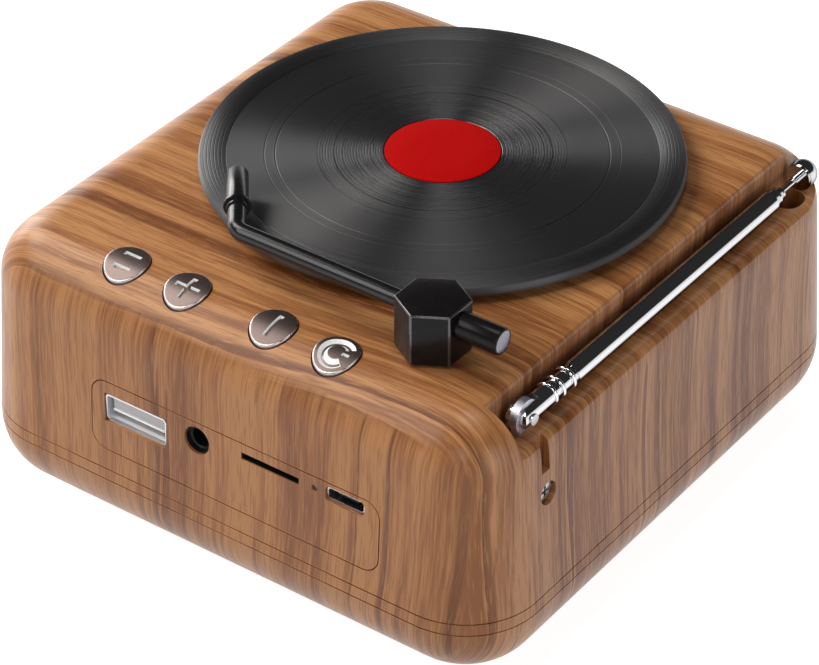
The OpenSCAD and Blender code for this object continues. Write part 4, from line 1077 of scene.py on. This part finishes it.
@dataclass
class Sockets:
    """Faces of the sockets in the side panel. Sizes in millimetres."""

    metal_t: float = 0.3
    round_r: float = 0.8
    round_segments: int = 5
    data_depth: float = 11.0
    lip_reach: float = 1.3
    lip_zone: float = 1.5
    lip_drop: float = 0.40
    upward: float = 0.5
    touch: float = 0.01
    tongue_back: float = 2.0
    tongue_low: float = 28.8
    tongue_high: float = 31.2
    tongue_set: float = 0.9
    tongue_half: float = 5.6
    tongue_bevel: float = 0.5
    tongue_soft: float = 0.06
    tongue_near: float = 0.1
    # Thin strip along the tongue's lower front edge, in the near-white: a painted highlight on that edge.
    highlight_ledge: tuple[Triple, Triple] = ((-0.1, -5.5, 0.05), (0.3, 5.5, 0.5))
    highlight_ledge_soft: float = 0.12
    contacts: int = 4
    contact_back: float = 4.0
    contact_set: float = 1.2
    contact_t: float = 0.1
    contact_soft: float = 0.04
    contact_pitch: float = 2.2
    contact_half: float = 0.5
    audio_set: float = 0.9
    mouth_set: float = 0.2
    flange_r: float = 3.6
    nose_r: float = 2.45
    nose_len: float = 2.6
    nose_lip: float = 0.12
    nose_cone: float = 0.2
    bore_r: float = 1.8
    bore_soft: float = 0.25
    bore_floor: float = 1.2
    slot_w: float = 11.78
    slot_h: float = 1.28
    slot_reach: float = 2.7
    slot_lift: float = 0.05
    # Thin black liner of the slot in the panel: painted shade for the slot's inside.
    shade_liner_t: float = 0.1
    shade_liner_lap: float = 0.2
    shade_liner_round: float = 0.05
    card_round: float = 0.2
    card_wall: float = 1.0
    power_depth: float = 6.2
    power_half: float = 2.1
    power_t: float = 0.3
    power_set: float = 0.8
    power_round: float = 0.1
    aligned: float = 0.9
    silver: Metal = Metal("socket_silver", (0.74, 0.75, 0.78), 0.42, 0.04, Axis.Y, 0.0004, 0.02, 0.65)
    # Near-white for the front strip of the shell's floor: a painted pool of light where the light reaches
    # in.
    painted_light_lip: Metal = Metal("socket_lip_painted_light", (0.95, 0.95, 0.95), 0.35, 0.02, Axis.Y, 0.0004, 0.01, 0.2)
    tongue: Moulded = Moulded("tongue_white", (0.52, 0.51, 0.51), 0.45, 0.04, 0.0008, 0.02, 0.4)

    def build(self) -> None:
        """Makes the sockets that show their insides."""
        self.mouth_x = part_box("audio_socket")[1].x / MM + self.audio_set - self.mouth_set
        self._data()
        self._audio()
        self._card()
        self._power()

    def _shell(self, lo: Vector, hi: Vector, rounding: float, depth: float, sheet: float) -> Mesh:
        """Makes a sheet-metal shell that is open at its front.

        Args:
            lo: Lowest corner.
            hi: Highest corner.
            rounding: Rounding of its long edges.
            depth: Depth of the opening.
            sheet: Thickness of its walls.

        Returns:
            The shell.
        """
        part = block(lo, hi)
        long_edges = [e for e in part.edges
                      if abs((e.verts[0].co - e.verts[1].co).normalized().x) > self.aligned]
        bevelled(part, long_edges, rounding, self.round_segments)
        part.normal_update()
        front = max(part.faces, key=lambda face: face.calc_center_median().x)
        bmesh.ops.inset_region(part, faces=[front], thickness=sheet * MM, use_even_offset=True)
        moved(part, bmesh.ops.extrude_face_region(part, geom=[front])["geom"], (-depth * MM, 0, 0))
        if front.is_valid:
            bmesh.ops.delete(part, geom=[front], context="FACES_ONLY")
        bmesh.ops.recalc_face_normals(part, faces=part.faces)
        return part

    def _data(self) -> None:
        """Makes the wide data socket with its tongue and contacts."""
        lo, hi = (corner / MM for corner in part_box("usb_socket"))
        piece = Workpiece("data_socket")
        shell = self._shell(lo, hi, self.round_r, self.data_depth, self.metal_t)
        lip_x = hi.x - self.lip_reach
        bmesh.ops.bisect_plane(shell, geom=shell.verts[:] + shell.edges[:] + shell.faces[:],
                               plane_co=(lip_x * MM, 0, 0), plane_no=(1, 0, 0))
        shell.normal_update()
        # The front strip of the floor is flared down and takes the near-white: a painted pool of light.
        for face in shell.faces:
            middle = face.calc_center_median() / MM
            if face.normal.z > self.upward and middle.z < lo.z + self.lip_zone and middle.x > lip_x:
                face.material_index = 2
                for vert in face.verts:
                    if vert.co.x > (hi.x - self.touch) * MM:
                        vert.co.z -= self.lip_drop * MM
        piece.take(shell)
        y, low, front = (lo.y + hi.y) / 2, self.tongue_low, hi.x - self.tongue_set
        half, near = self.tongue_half, self.tongue_near
        tongue = block((lo.x + self.tongue_back, y - half, low), (front, y + half, self.tongue_high))
        lip = [edge for edge in tongue.edges if all(
            v.co.x > (front - near) * MM and v.co.z < (low + near) * MM for v in edge.verts)]
        bevelled(tongue, lip, self.tongue_bevel, 1)
        bevelled(tongue, tongue.edges, self.tongue_soft, 1)
        piece.take(tongue, material=3)
        # Thin near-white strip at the tongue's lower front edge: a painted highlight.
        highlight_ledge = [Vector((front, y, low)) + Vector(corner) for corner in self.highlight_ledge]
        piece.take(block(*highlight_ledge, self.highlight_ledge_soft), material=2)
        back, end = lo.x + self.contact_back, front - self.contact_set
        half, t = self.contact_half, self.contact_t
        for i in range(self.contacts):
            at = y + (i - (self.contacts - 1) / 2) * self.contact_pitch
            contact = block((back, at - half, low - t), (end, at + half, low + t), self.contact_soft)
            piece.take(contact, material=1)
        piece.finish("case", Slot.STEEL, "usb_socket", finish=self.silver,
                     others=(Slot.BRASS, self.painted_light_lip, self.tongue))

    def _audio(self) -> None:
        """Turns the round socket's nose on its square body."""
        lo, hi = (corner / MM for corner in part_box("audio_socket"))
        y, z = (lo.y + hi.y) / 2, (lo.z + hi.z) / 2
        nose, bore, front, mouth = self.nose_r, self.bore_r, hi.x, self.mouth_x
        shoulder, floor = front - self.nose_len, lo.x + self.bore_floor
        piece = Workpiece("sound_socket")
        body = block((lo.x, lo.y, lo.z), (shoulder, hi.y, hi.z))
        end = max(body.faces, key=lambda face: face.calc_center_median().x)
        bmesh.ops.delete(body, geom=[end], context="FACES_ONLY")
        piece.take(body)
        outline = [(self.flange_r, shoulder), (nose, shoulder), (nose, mouth), (nose - self.nose_lip, mouth),
                   (nose - self.nose_cone, front), (bore + self.bore_soft, front),
                   (bore, front - self.bore_soft), (bore, floor), (0.0, floor)]
        piece.take(lathed(outline, SMALL_TURN), facing((1, 0, 0), Vector((0, y, z)) * MM))
        piece.finish("case", Slot.SOCKET, "audio_socket")

    def _card(self) -> None:
        """Makes the card socket, with a thin black liner in the panel's slot as painted shade for its
        inside.
        """
        lo, hi = (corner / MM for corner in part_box("card_socket"))
        y, z = (lo.y + hi.y) / 2, (lo.z + hi.z) / 2 + self.slot_lift
        half_w, half_h = self.slot_w / 2, self.slot_h / 2
        piece = Workpiece("card_slot")
        depth = hi.x - lo.x - self.card_wall
        piece.take(self._shell(lo, hi, self.card_round, depth, self.metal_t), material=1)
        # The black liner stands for the shade inside the slot.
        low = Vector((hi.x - self.shade_liner_lap, y - half_w, z - half_h))
        high = Vector((self.mouth_x, y + half_w, z + half_h))
        piece.take(self._shell(low, high, self.shade_liner_round, self.slot_reach, self.shade_liner_t))
        piece.finish("case", Slot.SOCKET, "card_socket", others=(Slot.STEEL,))

    def _power(self) -> None:
        """Makes the small power inlet with its tongue."""
        lo, hi = (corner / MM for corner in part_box("power_socket"))
        y, z = (lo.y + hi.y) / 2, (lo.z + hi.z) / 2
        piece = Workpiece("power_inlet")
        piece.take(self._shell(lo, hi, self.round_r, self.power_depth, self.metal_t))
        back, front = lo.x + self.power_set, hi.x - self.power_set
        piece.take(block((back, y - self.power_half, z - self.power_t),
                         (front, y + self.power_half, z + self.power_t), self.power_round), material=1)
        piece.finish("case", Slot.STEEL, "power_socket", others=(Slot.SOCKET,))


@dataclass(frozen=True)
class Softbox:
    """A soft lamp that faces the object. Lengths in metres."""

    name: str
    way: Triple
    size: Point
    watts: float
    tint: Colour
    distance: float = 0.8

    def hang(self, middle: Vector) -> None:
        """Hangs the lamp.

        Args:
            middle: Point that it faces.
        """
        data = bpy.data.lights.new(self.name, "AREA")
        data.shape, data.size, data.size_y = "RECTANGLE", *self.size
        data.energy, data.color = self.watts, self.tint
        lamp = bpy.data.objects.new(self.name, data)
        lamp.matrix_world = facing(self.way, middle + Vector(self.way).normalized() * self.distance)
        bpy.context.scene.collection.objects.link(lamp)


@dataclass
class Studio:
    """Floor, soft lights and camera. Lengths in metres."""

    focal: float = 147.085
    sensor: float = 36.0
    eye: Triple = (0.38724, 0.28016, 0.36588)
    azimuth_deg: float = 126.003
    elevation_deg: float = 35.69
    clip: Point = (0.01, 20.0)
    floor_size: float = 6.0
    floor_level: float = 0.55
    floor_roughness: float = 0.9
    floor_glow: float = 0.88
    horizon: Point = (0.08, 0.24)
    sky: float = 0.025
    middle: Triple = (0.0, 0.0, 0.035)
    lamps: tuple[Softbox, ...] = (
        Softbox("front_key", (0.05, -0.72, 0.69), (0.32, 0.40), 2.8, (1.0, 0.98, 0.96)),
        Softbox("front_low", (-0.30, -0.92, 0.25), (0.36, 0.40), 2.4, (1.0, 0.98, 0.97)),
        Softbox("overhead", (-0.02, 0.02, 1.00), (0.28, 0.28), 1.1, (1.0, 0.99, 0.98)),
        Softbox("socket_key", (0.58, -0.48, 0.66), (0.45, 0.45), 2.8, (1.0, 0.975, 0.94)),
        Softbox("corner_box", (0.82, 0.42, 0.46), (0.22, 0.22), 0.7, (0.94, 0.96, 1.0)),
        Softbox("back_fill", (0.25, 0.90, 0.25), (0.45, 0.45), 1.5, (0.88, 0.92, 1.0)),
    )

    def build(self) -> None:
        """Sets up the whole studio."""
        bpy.context.scene.view_settings.view_transform = "Standard"
        self._camera()
        self._world()
        self._floor()
        for lamp in self.lamps:
            lamp.hang(Vector(self.middle))
            LOG.info("%s: %.2f W", lamp.name, lamp.watts)

    def _camera(self) -> None:
        """Puts the camera at the view of the photograph."""
        a, e = math.radians(self.azimuth_deg), math.radians(self.elevation_deg)
        back = Vector((math.sin(a) * math.cos(e), -math.cos(a) * math.cos(e), math.sin(e)))
        right = Vector((0, 0, 1)).cross(back).normalized()
        data = bpy.data.cameras.new("camera")
        data.lens, data.sensor_width, data.sensor_fit = self.focal, self.sensor, "HORIZONTAL"
        data.clip_start, data.clip_end = self.clip
        camera = bpy.data.objects.new("camera", data)
        axes = Matrix((right, back.cross(right), back)).transposed().to_4x4()
        camera.matrix_world = Matrix.Translation(self.eye) @ axes
        bpy.context.scene.collection.objects.link(camera)
        bpy.context.scene.camera = camera

    def _world(self) -> None:
        """Makes a world that is white at the horizon and dark above, like a low cyclorama."""
        world = bpy.data.worlds.new("studio")
        world.use_nodes = True
        tree = world.node_tree
        background = tree.nodes["Background"]
        background.inputs["Color"].default_value = (1, 1, 1, 1)
        direction = tree.nodes.new("ShaderNodeTexCoord")
        height = tree.nodes.new("ShaderNodeSeparateXYZ")
        tree.links.new(direction.outputs["Generated"], height.inputs[0])
        level = tree.nodes.new("ShaderNodeMapRange")
        level.interpolation_type = "SMOOTHSTEP"
        for socket, value in zip(level.inputs[1:5], (*self.horizon, 1.0, self.sky)):
            socket.default_value = value
        tree.links.new(height.outputs["Z"], level.inputs["Value"])
        tree.links.new(level.outputs[0], background.inputs["Strength"])
        bpy.context.scene.world = world

    def _floor(self) -> None:
        """Lays the white floor, which keeps the shadow."""
        part = bmesh.new()
        bmesh.ops.create_grid(part, x_segments=2, y_segments=2, size=self.floor_size / 2)
        data = bpy.data.meshes.new("floor")
        part.to_mesh(data)
        part.free()
        shader = Shader("floor_white")
        rays = shader.add("ShaderNodeLightPath")
        seen = rays.outputs["Is Camera Ray"]
        for other in ("Is Glossy Ray", "Is Transmission Ray"):
            seen = shader.math("MAXIMUM", seen, rays.outputs[other])
        shader.dress(
            Base_Color=(self.floor_level, self.floor_level, self.floor_level),
            Roughness=self.floor_roughness,
            Specular_IOR_Level=0.0,
            Emission_Color=(1.0, 1.0, 1.0),
            Emission_Strength=shader.math("MULTIPLY", seen, self.floor_glow))
        data.materials.append(shader.material)
        floor = bpy.data.objects.new("floor", data)
        bpy.context.scene.collection.objects.link(floor)


def dress_nodes() -> None:
    """Gives every node of the frame the finish of its slot."""
    for row in frame["record"]["subparts"]:
        node = frame["nodes"][row["node"]]
        node.data.materials.clear()
        look = OWN_FINISHES.get(row["node"], Slot(row["material_slot"]))
        node.data.materials.append(material_of(look))
        LOG.info("%s: %s", row["node"], row["material_slot"])


def main() -> None:
    """Builds the studio and the object."""
    logging.basicConfig(level=logging.INFO, format="%(name)s %(message)s")
    Studio().build()
    dress_nodes()
    for assembly in (Turntable(), Tonearm(), KeyRow(), Sockets()):
        assembly.build()


if __name__ == "__main__":
    main()
